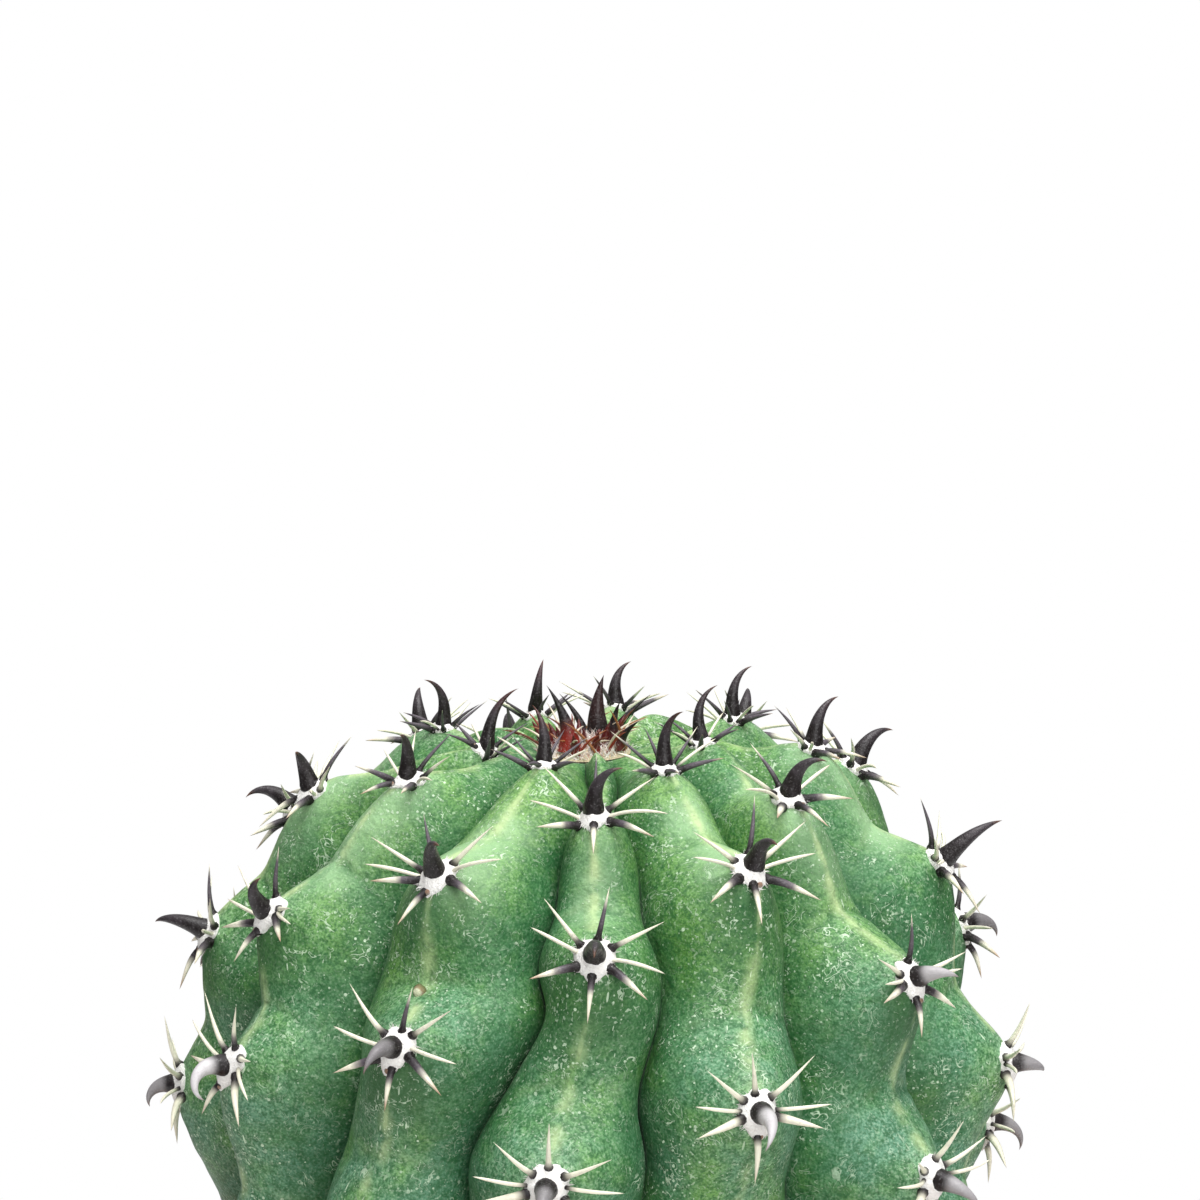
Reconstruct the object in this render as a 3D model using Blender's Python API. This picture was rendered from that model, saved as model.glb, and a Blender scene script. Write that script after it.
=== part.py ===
"""Potted barrel cactus: ribbed stem with its spines, crown tuft, clay pot, soil, grit and gravel.

Metres, +Z up. The pot stands on z = 0 with its axis on the Z axis, and the side that the
photo shows looks along -Y.
"""
import math
import random

import bpy
import bmesh
from mathutils import Matrix, Vector

# Pot
POT_HEIGHT = 0.150
POT_RIM_RADIUS = 0.100
POT_BAND_HEIGHT = 0.030
POT_BAND_STEP = 0.0045
POT_FOOT_RADIUS = 0.069
POT_WALL = 0.008
POT_FLOOR = 0.010
POT_EDGE = 0.0025
POT_SMALL_EDGE = 0.0015
DRAIN_HOLE_RADIUS = 0.009
POT_SEGMENTS = 48

# Fill of the pot
PIECE_GAP = 0.0003
GRAVEL_DEPTH = 0.014
GRIT_TOP = 0.138
GRIT_DEPTH = 0.006
GRIT_RELIEF = 0.0011
GRIT_EDGE_RELIEF = 0.0004
GRIT_SCATTER = 0.3
GRIT_RINGS = 6
GRIT_SEED = 41

# Stem above the grit
GLOBE_CENTRE_Z = 0.200
GLOBE_RADIUS = 0.0829
GLOBE_RISE = 0.0796
SHOULDER_POWER = 0.898
APEX_DIMPLE = 0.0116
APEX_DIMPLE_WIDTH = 0.032
LOWER_TAPER = 4.4
HOLLOW_RADIUS = 0.0105
HOLLOW_DROP = 0.0030
HOLLOW_SLOPE = (0.008, 0.0185)
RELIEF_FULL_RADIUS = 0.0175
LEAN = math.radians(1.93)
LEAN_FADE = 14.0
FOOT_FADE = 11.0
FOOT_RELIEF = 0.15

# Ribs and tubercles
RIBS = 13
RIB_STEP = 2.0 * math.pi / RIBS
FIRST_RIB = math.radians(-1.4)
RIB_TWIST = math.radians(-0.35)
AREOLE_POLAR = math.radians(59.8)
AREOLE_STEP = math.radians(2.05)
AREOLE_STRETCH = math.radians(0.006)
AREOLES_ROUND = 13
RIB_STRIDE = 8
PINCH_DEPTH = 0.0080
PINCH_AT = 0.57
PINCH_POINT = 1.6
PAD_ROUND = 0.6
RIB_PINCH = {
    0: 1.25,
    1: 1.2,
    2: 1.3,
    10: 0.6,
    11: 0.75,
    12: 1.1,
}
PINCH_BLEND = 2.5
FURROW_DEPTH = 0.0205
FURROW_SCALING = 0.8
FLANK_ROUND = 1.25
FLANK_FULL = 1.3
FULL_FLANKS = {
    (0, "left"): 2.2,
    (0, "right"): 2.2,
    (1, "left"): 1.8,
    (12, "right"): 1.8,
}
RIB_SWAY = math.radians(1.2)
FURROW_SWAY = math.radians(1.3)
SWAY_SEED = 5

# Places in the run of areoles, counted from the big one at the front
FIRST_AREOLE = -24
LAST_AREOLE = 29
FIRST_RING = -26.2
GRIT_RUN = 32.6

# How far single areoles stand off the even run: degrees round the stem, steps down it
AREOLE_NUDGE = {
    -24: (14.0, -0.8),
    -21: (8.0, 0.0),
    -19: (-10.0, -2.0),
    -18: (-8.0, -0.6),
    -13: (-1.0, 0.0),
    -11: (-5.0, 0.0),
    -10: (-9.0, -2.2),
    -8: (0.0, 0.9),
    -7: (-3.0, -2.0),
    -5: (1.0, -1.6),
    -3: (-4.0, 1.0),
    0: (2.0, -1.2),
    3: (-1.0, 0.5),
    5: (4.0, 0.0),
    8: (-1.5, 1.4),
    10: (2.0, -1.7),
    11: (1.5, 1.3),
    15: (0.0, -1.8),
    16: (1.5, 0.0),
}

# Rib 0 is slim higher up: its furrows stand closer to its crest, degrees at the top
FURROW_PULL = {
    0: -4.0,
    12: 6.0,
}
PULL_FROM = -16.0
PULL_TO = 12.0

# The furrow right of rib 12 swings to the right: middle and half width as places in the run, degrees
FURROW_BEND = {
    12: (1.2, 3.2, 4.0),
}
NO_BEND = (0.0, 1.0, 0.0)

# Mesh of the stem
RIB_SIDES = (-1.0, -0.8, -0.42, 0.0, 0.42, 0.8)
RUN_STEP = 13.0 / 6.0

# Root crown in the soil
NECK_BELOW_GRIT = 0.0015
ROOT_RADIUS = 0.016
ROOT_TIP_Z = 0.078

# Spine clusters, smaller near the crown: their size at the first areole and where they are full grown
PAD_RADIUS = 0.0030
SPINE_INSET = 0.0012
ROOT_SINK = 0.0024
SPINE_SIDES = 3
SPINE_CLEARANCE = 0.003
SPINE_SEED = 17
YOUNG_CLUSTER = 0.72
CLUSTER_GROWN = -8.0
CLOCK_SPREAD = 7.0
LENGTH_SPREAD = (0.9, 1.1)
RISE_SPREAD = (-3.0, 5.0)
YOUNG_RISE = 14.0
YOUNG_RUNS = (-22.0, -10.0)

# Central hooks: straight and steep when young, curled and turned down when old
HOOK_LENGTH = 0.0105
HOOK_RADIUS = 0.00245
HOOK_PARTS = 4
HOOK_TAPER = 1.05
HOOK_START = 0.0006
HOOK_BEND = 1.7
HOOK_YOUNG = -18.0
HOOK_OLD = 0.0
HOOK_CLOCK = 150.0
HOOK_RISES = (0.40, 0.0)
HOOK_TURNS = (80.0, 105.0)
HOOK_CLOCK_SPREAD = 30.0
HOOK_LENGTH_SPREAD = (0.92, 1.08)

# Radial spines of a cluster: clock angle, length, root radius, rise in degrees
RADIALS = (
    (0.0, 0.0118, 0.00065, 12.0),
    (-54.0, 0.0132, 0.00075, 9.0),
    (58.0, 0.0130, 0.00075, 9.0),
    (-81.0, 0.0124, 0.00045, 5.0),
    (85.0, 0.0128, 0.00045, 5.0),
    (-113.0, 0.0122, 0.00095, 4.0),
    (118.0, 0.0118, 0.00095, 4.0),
    (185.0, 0.0112, 0.00070, 5.0),
)

# Clock angles of the radial spines of the front clusters, where they stand off the usual ones
CLUSTER_CLOCKS = {
    -13: (2.0, -46.0, 62.0, -88.0, 98.0, -120.0, 122.0, 180.0),
    -8: (-32.0, -78.0, 42.0, -100.0, 70.0, -114.0, 108.0, 188.0),
    -5: (16.0, -54.0, 62.0, -80.0, 88.0, -120.0, 130.0, 196.0),
    -3: (-12.0, -84.0, 62.0, -110.0, 74.0, -136.0, 92.0, 172.0),
    0: (9.0, -46.0, 62.0, -70.0, 102.0, -116.0, 128.0, 182.0),
    3: (-2.0, -64.0, 84.0, -84.0, 96.0, -98.0, 132.0, 198.0),
    5: (10.0, -52.0, 46.0, -88.0, 86.0, -128.0, 112.0, 168.0),
    8: (-12.0, -50.0, 46.0, -79.0, 89.0, -103.0, 108.0, 186.0),
}

# Hooked spines that show in front: clock angle of the curl, upward share at the root, turn and length
HOOK_SHAPES = {
    -24: (30.0, 0.10, 60.0, 0.0130),
    -23: (150.0, 0.25, 80.0, 0.0115),
    -21: (-80.0, 0.30, 50.0, 0.0110),
    -20: (175.0, 0.25, 85.0, 0.0112),
    -19: (125.0, 0.25, 85.0, 0.0115),
    -18: (160.0, 0.45, 85.0, 0.0122),
    -16: (135.0, 0.45, 85.0, 0.0115),
    -13: (95.0, 0.45, 90.0, 0.0110),
    -11: (100.0, 0.45, 85.0, 0.0100),
    -10: (150.0, 0.30, 100.0, 0.0105),
    -8: (120.0, 0.45, 85.0, 0.0115),
    -7: (165.0, 0.25, 85.0, 0.0113),
    -5: (180.0, 0.35, 85.0, 0.0105),
    -3: (30.0, 0.45, 85.0, 0.0095),
    -2: (130.0, 0.25, 60.0, 0.0140),
    0: (180.0, 0.15, 75.0, 0.0110),
    2: (-125.0, 0.10, 85.0, 0.0115),
    3: (130.0, 0.15, 90.0, 0.0085),
    5: (180.0, 0.00, 90.0, 0.0105),
    6: (180.0, 0.00, 110.0, 0.0088),
    8: (-145.0, 0.00, 90.0, 0.0118),
    10: (140.0, 0.00, 170.0, 0.0120),
    11: (130.0, 0.00, 100.0, 0.0075),
    15: (160.0, 0.00, 120.0, 0.0080),
}

# Crown tuft: shares of its radius and of its rise from edge to top, and its young spines
TUFT_RADIUS = 0.0092
TUFT_RISE = 0.0026
TUFT_DOME = ((1.0, 0.25), (0.92, 0.6), (0.6, 0.92), (0.25, 1.05))
TUFT_RIPPLE = 0.08
TUFT_SEGMENTS = 20
TUFT_SEED = 29
YOUNG_SPINES = 16
YOUNG_LENGTH = 0.0062
YOUNG_LENGTH_SPREAD = (0.8, 1.15)
YOUNG_RADIUS = 0.0012
YOUNG_ROOT = 0.0008
YOUNG_SPIRAL = math.radians(137.5)
YOUNG_PLACES = (0.25, 0.85)
YOUNG_SPLAY = (0.35, 0.75)

# Biggest young spines of the crown: foot and tip, right and back of the apex, rise to the tip, root radius
CROWN_HOOKS = (
    (0.0032, 0.0052, 0.0044, 0.0062, 0.0128, 0.0024),
    (0.0006, 0.0060, -0.0046, 0.0082, 0.0098, 0.0010),
    (0.0052, 0.0056, 0.0136, 0.0070, 0.0090, 0.0010),
    (-0.0026, -0.0052, -0.0068, -0.0040, 0.0128, 0.0026),
    (0.0062, -0.0010, 0.0076, -0.0022, 0.0096, 0.0013),
    (0.0070, -0.0046, 0.0112, -0.0070, 0.0062, 0.0012),
)
CROWN_HOOK_PARTS = 3
CROWN_HOOK_TAPER = 1.6
CROWN_HOOK_BOW = 0.0012
CROWN_HOOK_LIFT = 0.5

# Colour and roughness of each piece
FINISHES = {
    "stem_spined": ((0.115, 0.285, 0.115), 0.45),
    "crown_tuft": ((0.42, 0.20, 0.12), 0.80),
    "pot": ((0.50, 0.20, 0.10), 0.80),
    "potting_mix": ((0.06, 0.04, 0.03), 0.95),
    "top_grit": ((0.36, 0.31, 0.25), 0.90),
    "drain_gravel": ((0.28, 0.26, 0.24), 0.90),
}
STEM_SHARP = math.radians(50.0)
POT_SHARP = math.radians(35.0)


def clear_scene():
    for obj in list(bpy.data.objects):
        bpy.data.objects.remove(obj, do_unlink=True)


def blend(low, high, value):
    """Smooth share from 0 at the low value to 1 at the high one."""
    share = min(1.0, max(0.0, (value - low) / (high - low)))
    return share * share * (3.0 - 2.0 * share)


def between(ends, share):
    return ends[0] + (ends[1] - ends[0]) * share


# Stem surface


def polar_at(run):
    return AREOLE_POLAR + AREOLE_STEP * run + AREOLE_STRETCH * run * run


def run_at_radius(radius):
    """Place of the run where the surface above the shoulder has this radius."""
    polar = math.asin((radius / GLOBE_RADIUS) ** (1.0 / SHOULDER_POWER))
    root = math.sqrt(AREOLE_STEP ** 2 - 4.0 * AREOLE_STRETCH * (AREOLE_POLAR - polar))
    return (root - AREOLE_STEP) / (2.0 * AREOLE_STRETCH)


def envelope(polar):
    """Radius and height over the globe's centre of the surface that the areoles touch."""
    if polar > math.pi / 2.0:
        arc = (polar - math.pi / 2.0) * GLOBE_RADIUS
        return GLOBE_RADIUS - LOWER_TAPER * arc * arc, -arc
    radius = GLOBE_RADIUS * math.sin(max(polar, 0.0)) ** SHOULDER_POWER
    dimple = APEX_DIMPLE * math.exp(-(radius / APEX_DIMPLE_WIDTH) ** 2)
    dimple += HOLLOW_DROP * (1.0 - blend(*HOLLOW_SLOPE, radius))
    return radius, GLOBE_RISE * math.cos(polar) - dimple


def inward(polar):
    """Unit vector (radius, height) from the envelope straight in to the stem."""
    small = 0.01
    r0, z0 = envelope(polar - small)
    r1, z1 = envelope(polar + small)
    length = math.hypot(r1 - r0, z1 - z0)
    return (z1 - z0) / length, -(r1 - r0) / length


def rib_sways():
    rng = random.Random(SWAY_SEED)
    return [rng.uniform(-RIB_SWAY, RIB_SWAY) for _ in range(RIBS)]


SWAYS = rib_sways()


def areole_place(number):
    turn, step = AREOLE_NUDGE.get(number, (0.0, 0.0))
    return number + step, math.radians(turn)


def rib_state(rib, run):
    """Azimuth of the crest of a rib at a place of the run, and its share of the way to the next areole."""
    number = rib * RIB_STRIDE % AREOLES_ROUND
    number += AREOLES_ROUND * math.floor((run - number) / AREOLES_ROUND)
    while areole_place(number)[0] > run:
        number -= AREOLES_ROUND
    while areole_place(number + AREOLES_ROUND)[0] <= run:
        number += AREOLES_ROUND
    start, turn = areole_place(number)
    end, next_turn = areole_place(number + AREOLES_ROUND)
    share = (run - start) / (end - start)
    azimuth = FIRST_RIB + rib * RIB_STEP + RIB_TWIST * run
    azimuth += turn + (next_turn - turn) * blend(0.0, 1.0, share)
    azimuth += SWAYS[rib % RIBS] * math.sin(2.0 * math.pi * share)
    return azimuth, share


def pinch(share):
    """How far the crest has drawn in on its way from one areole to the next, 0 to 1.

    The crest comes to a blunt point at each areole and is rounded in the pinch between two.
    """
    if share < PINCH_AT:
        away = share / PINCH_AT
    else:
        away = (1.0 - share) / (1.0 - PINCH_AT)
    blunt = (1.0 + PAD_ROUND) * away * away / (away + PAD_ROUND)
    return 1.0 - (1.0 - blunt) ** PINCH_POINT


def furrow_azimuth(rib, run):
    """Azimuth of the furrow to the right of a rib."""
    left, left_share = rib_state(rib, run)
    right, right_share = rib_state(rib + 1, run)
    middle = (left + right) / 2.0
    middle += FURROW_SWAY * (pinch(right_share) - pinch(left_share))
    pull = math.radians(FURROW_PULL.get(rib % RIBS, 0.0))
    middle_run, half_width, turn = FURROW_BEND.get(rib % RIBS, NO_BEND)
    middle += math.radians(turn) * math.exp(-((run - middle_run) / half_width) ** 2)
    return middle + pull * (1.0 - blend(PULL_FROM, PULL_TO, run))


def relief_scale(run, radius):
    """Relief shrinks towards the bare hollow at the apex and where the stem enters the grit."""
    scale = (max(radius, 0.0) / GLOBE_RADIUS) ** FURROW_SCALING
    scale *= blend(HOLLOW_RADIUS, RELIEF_FULL_RADIUS, radius)
    return scale * (1.0 - (1.0 - FOOT_RELIEF) * blend(GRIT_RUN - FOOT_FADE, GRIT_RUN, run))


def rib_depth(side, crest_depth, full):
    """Depth of the rib's cross-section from its crest at 0 to its furrow at 1.

    The flank is nearly straight where full is 1 and swells out where it is more.
    """
    flank = 1.0 - (1.0 - min(side, 1.0) ** FLANK_ROUND) ** (1.0 / full)
    keeled = crest_depth + (FURROW_DEPTH - crest_depth) * flank
    held = crest_depth * (1.0 - side ** 3)
    rounded_off = (held ** PINCH_BLEND + (FURROW_DEPTH * flank) ** PINCH_BLEND) ** (1.0 / PINCH_BLEND)
    return (keeled + rounded_off) / 2.0


def stem_point(rib, side, run):
    """Point of the stem's surface: side is -1 in the left furrow, 0 on the crest, 1 in the right one."""
    crest, share = rib_state(rib, run)
    if side < 0.0:
        azimuth = crest + side * (crest - furrow_azimuth(rib - 1, run))
    else:
        azimuth = crest + side * (furrow_azimuth(rib, run) - crest)
    polar = polar_at(run)
    radius, height = envelope(polar)
    crest_depth = PINCH_DEPTH * RIB_PINCH.get(rib % RIBS, 1.0) * pinch(share)
    full = FULL_FLANKS.get((rib % RIBS, "left" if side < 0.0 else "right"), FLANK_FULL)
    depth = rib_depth(abs(side), crest_depth, full)
    depth = depth * relief_scale(run, radius)
    in_radius, in_height = inward(polar)
    radius = max(radius + in_radius * depth, 0.0)
    height = height + in_height * depth
    return lean(Vector((radius * math.sin(azimuth), -radius * math.cos(azimuth), height)), run)


def lean(point, run):
    """Point of the upright globe moved to its place on the stem, which leans above the grit."""
    angle = LEAN * (1.0 - blend(GRIT_RUN - LEAN_FADE, GRIT_RUN, run))
    turned = Matrix.Rotation(-angle, 3, "Y") @ point
    return turned + Vector((0.0, 0.0, GLOBE_CENTRE_Z))


def add_object(name, mesh_builder):
    """Make an object from a bmesh, with its faces pointing out."""
    bm = bmesh.new()
    mesh_builder(bm)
    bmesh.ops.recalc_face_normals(bm, faces=bm.faces)
    mesh = bpy.data.meshes.new(name)
    bm.to_mesh(mesh)
    bm.free()
    obj = bpy.data.objects.new(name, mesh)
    bpy.context.collection.objects.link(obj)
    return obj


def bridge(bm, upper, lower):
    count = len(upper)
    for i in range(count):
        j = (i + 1) % count
        bm.faces.new((upper[i], lower[i], lower[j], upper[j]))


def cap(bm, ring, point):
    centre = bm.verts.new(point)
    count = len(ring)
    for i in range(count):
        bm.faces.new((ring[i], ring[(i + 1) % count], centre))


def split_quads(bm):
    bmesh.ops.triangulate(bm, faces=bm.faces, quad_method="SHORT_EDGE")


def stem_runs():
    """Places of the mesh's rings: two round the bare hollow, then even steps down to the grit."""
    runs = [run_at_radius(HOLLOW_RADIUS), run_at_radius((HOLLOW_RADIUS + RELIEF_FULL_RADIUS) / 2.0)]
    count = int((GRIT_RUN - FIRST_RING) / RUN_STEP)
    runs.extend(FIRST_RING + RUN_STEP * k for k in range(count))
    runs.append(GRIT_RUN)
    return runs


def snapped(rib, run):
    """Place of the rib's areole where one lies within half a ring's step, else the place itself."""
    number = rib * RIB_STRIDE % AREOLES_ROUND
    number += AREOLES_ROUND * round((run - number) / AREOLES_ROUND)
    place = areole_place(number)[0]
    if FIRST_AREOLE <= number <= LAST_AREOLE and abs(place - run) <= RUN_STEP / 2.0:
        return place
    return run


def stem_body(bm):
    rings = []
    for run in stem_runs():
        ring = []
        for rib in range(RIBS):
            for side in RIB_SIDES:
                place = run + (snapped(rib, run) - run) * (1.0 - side * side)
                ring.append(bm.verts.new(stem_point(rib, side, place)))
        rings.append(ring)
    for z in (GRIT_TOP - GRIT_DEPTH - NECK_BELOW_GRIT, ROOT_TIP_Z):
        rings.append(root_ring(bm, z))
    for upper, lower in zip(rings, rings[1:]):
        bridge(bm, upper, lower)
    cap(bm, rings[0], lean(hollow_point(0.0, 0.0), FIRST_RING))
    cap(bm, rings[-1], Vector((0.0, 0.0, ROOT_TIP_Z)))
    split_quads(bm)


def hollow_point(angle, radius):
    """Point of the bare hollow at the apex, which is a shallow cone."""
    low = envelope(0.0)[1]
    high = envelope(polar_at(run_at_radius(HOLLOW_RADIUS)))[1]
    height = low + (high - low) * radius / HOLLOW_RADIUS
    return Vector((radius * math.sin(angle), -radius * math.cos(angle), height))


def root_ring(bm, z):
    """Ring of the root crown, which fits its hole in the soil with the gap between pieces."""
    radius = hole_radius(z) * math.cos(math.pi / POT_SEGMENTS) - PIECE_GAP
    ring = []
    for i in range(RIBS * len(RIB_SIDES)):
        angle = FIRST_RIB + RIB_TWIST * GRIT_RUN + (i / len(RIB_SIDES) - 0.5) * RIB_STEP
        ring.append(bm.verts.new((radius * math.sin(angle), -radius * math.cos(angle), z)))
    return ring


# Spines


def areole_frame(number):
    """Rib, place, centre, outward normal, down and right directions of an areole."""
    rib = 5 * number % RIBS
    run = areole_place(number)[0]
    centre = stem_point(rib, 0.0, run)
    lower = stem_point(rib, 0.0, run + 1.2)
    upper = stem_point(rib, 0.0, run - 0.6)
    down = (lower - upper).normalized()
    azimuth = rib_state(rib, run)[0]
    right = Vector((math.cos(azimuth), math.sin(azimuth), 0.0))
    right = (right - down * right.dot(down)).normalized()
    normal = right.cross(-down).normalized()
    return rib, run, centre, normal, down, right


def surface_beside(rib, run, across, along):
    """Point of the surface to the right of the crest and down from the place, in metres."""
    half_width = envelope(polar_at(run))[0] * RIB_STEP / 2.0
    return stem_point(rib, across / half_width, run + along / (GLOBE_RADIUS * AREOLE_STEP))


def add_spine(bm, points, radii, facing):
    """Three-sided spine through its points, with one edge on the facing side and a sharp tip."""
    rings = []
    for k in range(len(points) - 1):
        before = points[max(k - 1, 0)]
        axis = (points[k + 1] - before).normalized()
        side = axis.cross(facing).normalized()
        other = side.cross(axis).normalized()
        ring = []
        for i in range(SPINE_SIDES):
            angle = 2.0 * math.pi * i / SPINE_SIDES + math.pi / 2.0
            offset = side * math.cos(angle) * radii[k] + other * math.sin(angle) * radii[k]
            ring.append(bm.verts.new(points[k] + offset))
        rings.append(ring)
    bm.faces.new(rings[0])
    for lower, upper in zip(rings, rings[1:]):
        bridge(bm, lower, upper)
    cap(bm, rings[-1], points[-1])


def hook_settings(number, run, rng):
    """Length, clock angle of the curl, upward share at the root and full turn of a central spine."""
    age = blend(HOOK_YOUNG, HOOK_OLD, run)
    clock = rng.choice((-1.0, 1.0)) * HOOK_CLOCK + rng.uniform(-HOOK_CLOCK_SPREAD, HOOK_CLOCK_SPREAD)
    length = HOOK_LENGTH * rng.uniform(*HOOK_LENGTH_SPREAD)
    grown = (clock, between(HOOK_RISES, age), between(HOOK_TURNS, age), length)
    clock, rise, turn, length = HOOK_SHAPES.get(number, grown)
    return length, math.radians(clock), rise, math.radians(turn)


def hook_points(centre, normal, down, right, settings, parts):
    length, clock, rise, turn = settings
    start = (normal - down * rise).normalized()
    curl = right * math.sin(clock) - down * math.cos(clock)
    curl = (curl - start * curl.dot(start)).normalized()
    point = centre + start * HOOK_START
    points = [centre - normal * ROOT_SINK, point]
    for k in range(parts):
        angle = turn * ((k + 0.5) / parts) ** HOOK_BEND
        point = point + (start * math.cos(angle) + curl * math.sin(angle)) * (length / parts)
        points.append(point)
    return points


def clear_of_pot(point):
    """Low spines that would stand in the grit or the pot's wall have rubbed off."""
    if point.z < GRIT_TOP + SPINE_CLEARANCE:
        return False
    reach = math.hypot(point.x, point.y)
    return point.z > POT_HEIGHT + SPINE_CLEARANCE or reach < pot_inner_radius(POT_HEIGHT) - SPINE_CLEARANCE


def add_cluster(bm, number, rng):
    rib, run, centre, normal, down, right = areole_frame(number)
    size = between((YOUNG_CLUSTER, 1.0), blend(FIRST_AREOLE, CLUSTER_GROWN, run))
    young_rise = YOUNG_RISE * (1.0 - blend(*YOUNG_RUNS, run))
    for index, (clock, length, radius, rise) in enumerate(RADIALS):
        clock += rng.uniform(-CLOCK_SPREAD, CLOCK_SPREAD)
        if number in CLUSTER_CLOCKS:
            clock = CLUSTER_CLOCKS[number][index]
        clock = math.radians(clock)
        length = length * size * rng.uniform(*LENGTH_SPREAD)
        rise = math.radians(rise + young_rise + rng.uniform(*RISE_SPREAD))
        out = right * math.sin(clock) - down * math.cos(clock)
        across = PAD_RADIUS * math.sin(clock)
        along = -PAD_RADIUS * math.cos(clock)
        root = surface_beside(rib, run, across, along) - normal * ROOT_SINK
        tip = centre + out * (SPINE_INSET + length * math.cos(rise)) + normal * length * math.sin(rise)
        if clear_of_pot(tip):
            add_spine(bm, (root, tip), (radius,), normal)
    settings = hook_settings(number, run, rng)
    points = hook_points(centre, normal, down, right, settings, HOOK_PARTS)
    last = len(points) - 1
    radii = [HOOK_RADIUS * size * (1.0 - (k / last) ** HOOK_TAPER) for k in range(last)]
    if all(clear_of_pot(point) for point in points[1:]):
        add_spine(bm, points, radii, right)


def fuse(obj, collection):
    """Join a collection of repeats to an object and take the collection's objects away."""
    union = obj.modifiers.new("fuse", "BOOLEAN")
    union.operation = "UNION"
    union.operand_type = "COLLECTION"
    union.collection = collection
    union.solver = "MANIFOLD"
    bpy.context.view_layer.objects.active = obj
    bpy.ops.object.modifier_apply(modifier=union.name)
    for part in list(collection.objects):
        bpy.data.objects.remove(part, do_unlink=True)
    bpy.data.collections.remove(collection)


def make_stem():
    stem = add_object("stem_spined", stem_body)
    rng = random.Random(SPINE_SEED)
    areoles = range(FIRST_AREOLE, LAST_AREOLE + 1)
    fuse(stem, repeats("spine_cluster", areoles, lambda bm, number: add_cluster(bm, number, rng)))
    return stem


# Crown tuft


def tuft_point(angle, share, rise):
    """Point over the hollow at a share of the tuft's radius, as high as a share of its rise."""
    seat = hollow_point(angle, TUFT_RADIUS * share)
    floor = seat.z + PIECE_GAP
    top = hollow_point(angle, TUFT_RADIUS).z + PIECE_GAP + TUFT_RISE
    seat.z = floor + (top - floor) * rise
    return lean(seat, FIRST_RING)


def tuft_body(bm):
    """Cushion of wool that lies in the hollow and domes over it."""
    rng = random.Random(TUFT_SEED)
    rings = []
    for share, rise in ((1.0, 0.0), *TUFT_DOME):
        ring = []
        for i in range(TUFT_SEGMENTS):
            angle = 2.0 * math.pi * i / TUFT_SEGMENTS
            ripple = 1.0 + rng.uniform(-TUFT_RIPPLE, TUFT_RIPPLE)
            ring.append(bm.verts.new(tuft_point(angle, share, rise * ripple)))
        rings.append(ring)
    for lower, upper in zip(rings, rings[1:]):
        bridge(bm, upper, lower)
    cap(bm, rings[-1], tuft_point(0.0, 0.0, 1.0))
    cap(bm, rings[0], tuft_point(0.0, 0.0, 0.0))
    split_quads(bm)


def add_young_spine(bm, index, rng):
    angle = index * YOUNG_SPIRAL
    share = between(YOUNG_PLACES, math.sqrt(index / YOUNG_SPINES))
    root = tuft_point(angle, share, 0.0)
    root.z += YOUNG_ROOT
    out = Vector((math.sin(angle), -math.cos(angle), 0.0))
    splay = share * rng.uniform(*YOUNG_SPLAY)
    length = YOUNG_LENGTH * rng.uniform(*YOUNG_LENGTH_SPREAD)
    tip = root + (out * splay + Vector((0.0, 0.0, 1.0))).normalized() * length
    add_spine(bm, (root, tip), (YOUNG_RADIUS,), out)


def add_crown_hook(bm, index):
    """Big young spine that stands in the wool and bows away from the side it leans to."""
    foot_x, foot_y, tip_x, tip_y, rise, radius = CROWN_HOOKS[index]
    floor = hollow_point(0.0, math.hypot(foot_x, foot_y)).z + PIECE_GAP
    foot = Vector((foot_x, foot_y, floor + YOUNG_ROOT + radius * CROWN_HOOK_LIFT))
    tip = Vector((tip_x, tip_y, foot.z + rise))
    away = Vector((tip_x - foot_x, tip_y - foot_y, 0.0)).normalized()
    points = []
    radii = []
    for k in range(CROWN_HOOK_PARTS + 1):
        share = k / CROWN_HOOK_PARTS
        bow = away * 4.0 * share * (1.0 - share) * CROWN_HOOK_BOW
        points.append(lean(foot + (tip - foot) * share - bow, FIRST_RING))
        radii.append(radius * (1.0 - share ** CROWN_HOOK_TAPER))
    add_spine(bm, points, radii[:-1], away)


def repeats(name, numbers, add_one):
    """Each repeat as an object of its own, in a collection for the union."""
    collection = bpy.data.collections.new(name)
    bpy.context.scene.collection.children.link(collection)
    for number in numbers:
        obj = add_object(name, lambda bm: add_one(bm, number))
        bpy.context.collection.objects.unlink(obj)
        collection.objects.link(obj)
    return collection


def make_tuft():
    tuft = add_object("crown_tuft", tuft_body)
    rng = random.Random(TUFT_SEED)
    spines = range(YOUNG_SPINES)
    fuse(tuft, repeats("young_spine", spines, lambda bm, index: add_young_spine(bm, index, rng)))
    fuse(tuft, repeats("crown_hook", range(len(CROWN_HOOKS)), add_crown_hook))
    return tuft


# Pot and its fill


def pot_outer_radius(z):
    """Outer radius of the pot's wall below its rim band."""
    top = POT_RIM_RADIUS - POT_BAND_STEP
    return POT_FOOT_RADIUS + (top - POT_FOOT_RADIUS) * z / POT_HEIGHT


def pot_inner_radius(z):
    return pot_outer_radius(z) - POT_WALL


def rounded(corners):
    """Profile with each corner that has a radius cut to a short round of three points."""
    points = []
    count = len(corners)
    for i, (radius, z, edge) in enumerate(corners):
        here = Vector((radius, z))
        if edge == 0.0:
            points.append(here)
            continue
        before = Vector(corners[i - 1][:2]) - here
        after = Vector(corners[(i + 1) % count][:2]) - here
        start = here + before.normalized() * edge
        end = here + after.normalized() * edge
        points.append(start)
        points.append((start + end) * 0.25 + here * 0.5)
        points.append(end)
    return points


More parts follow.
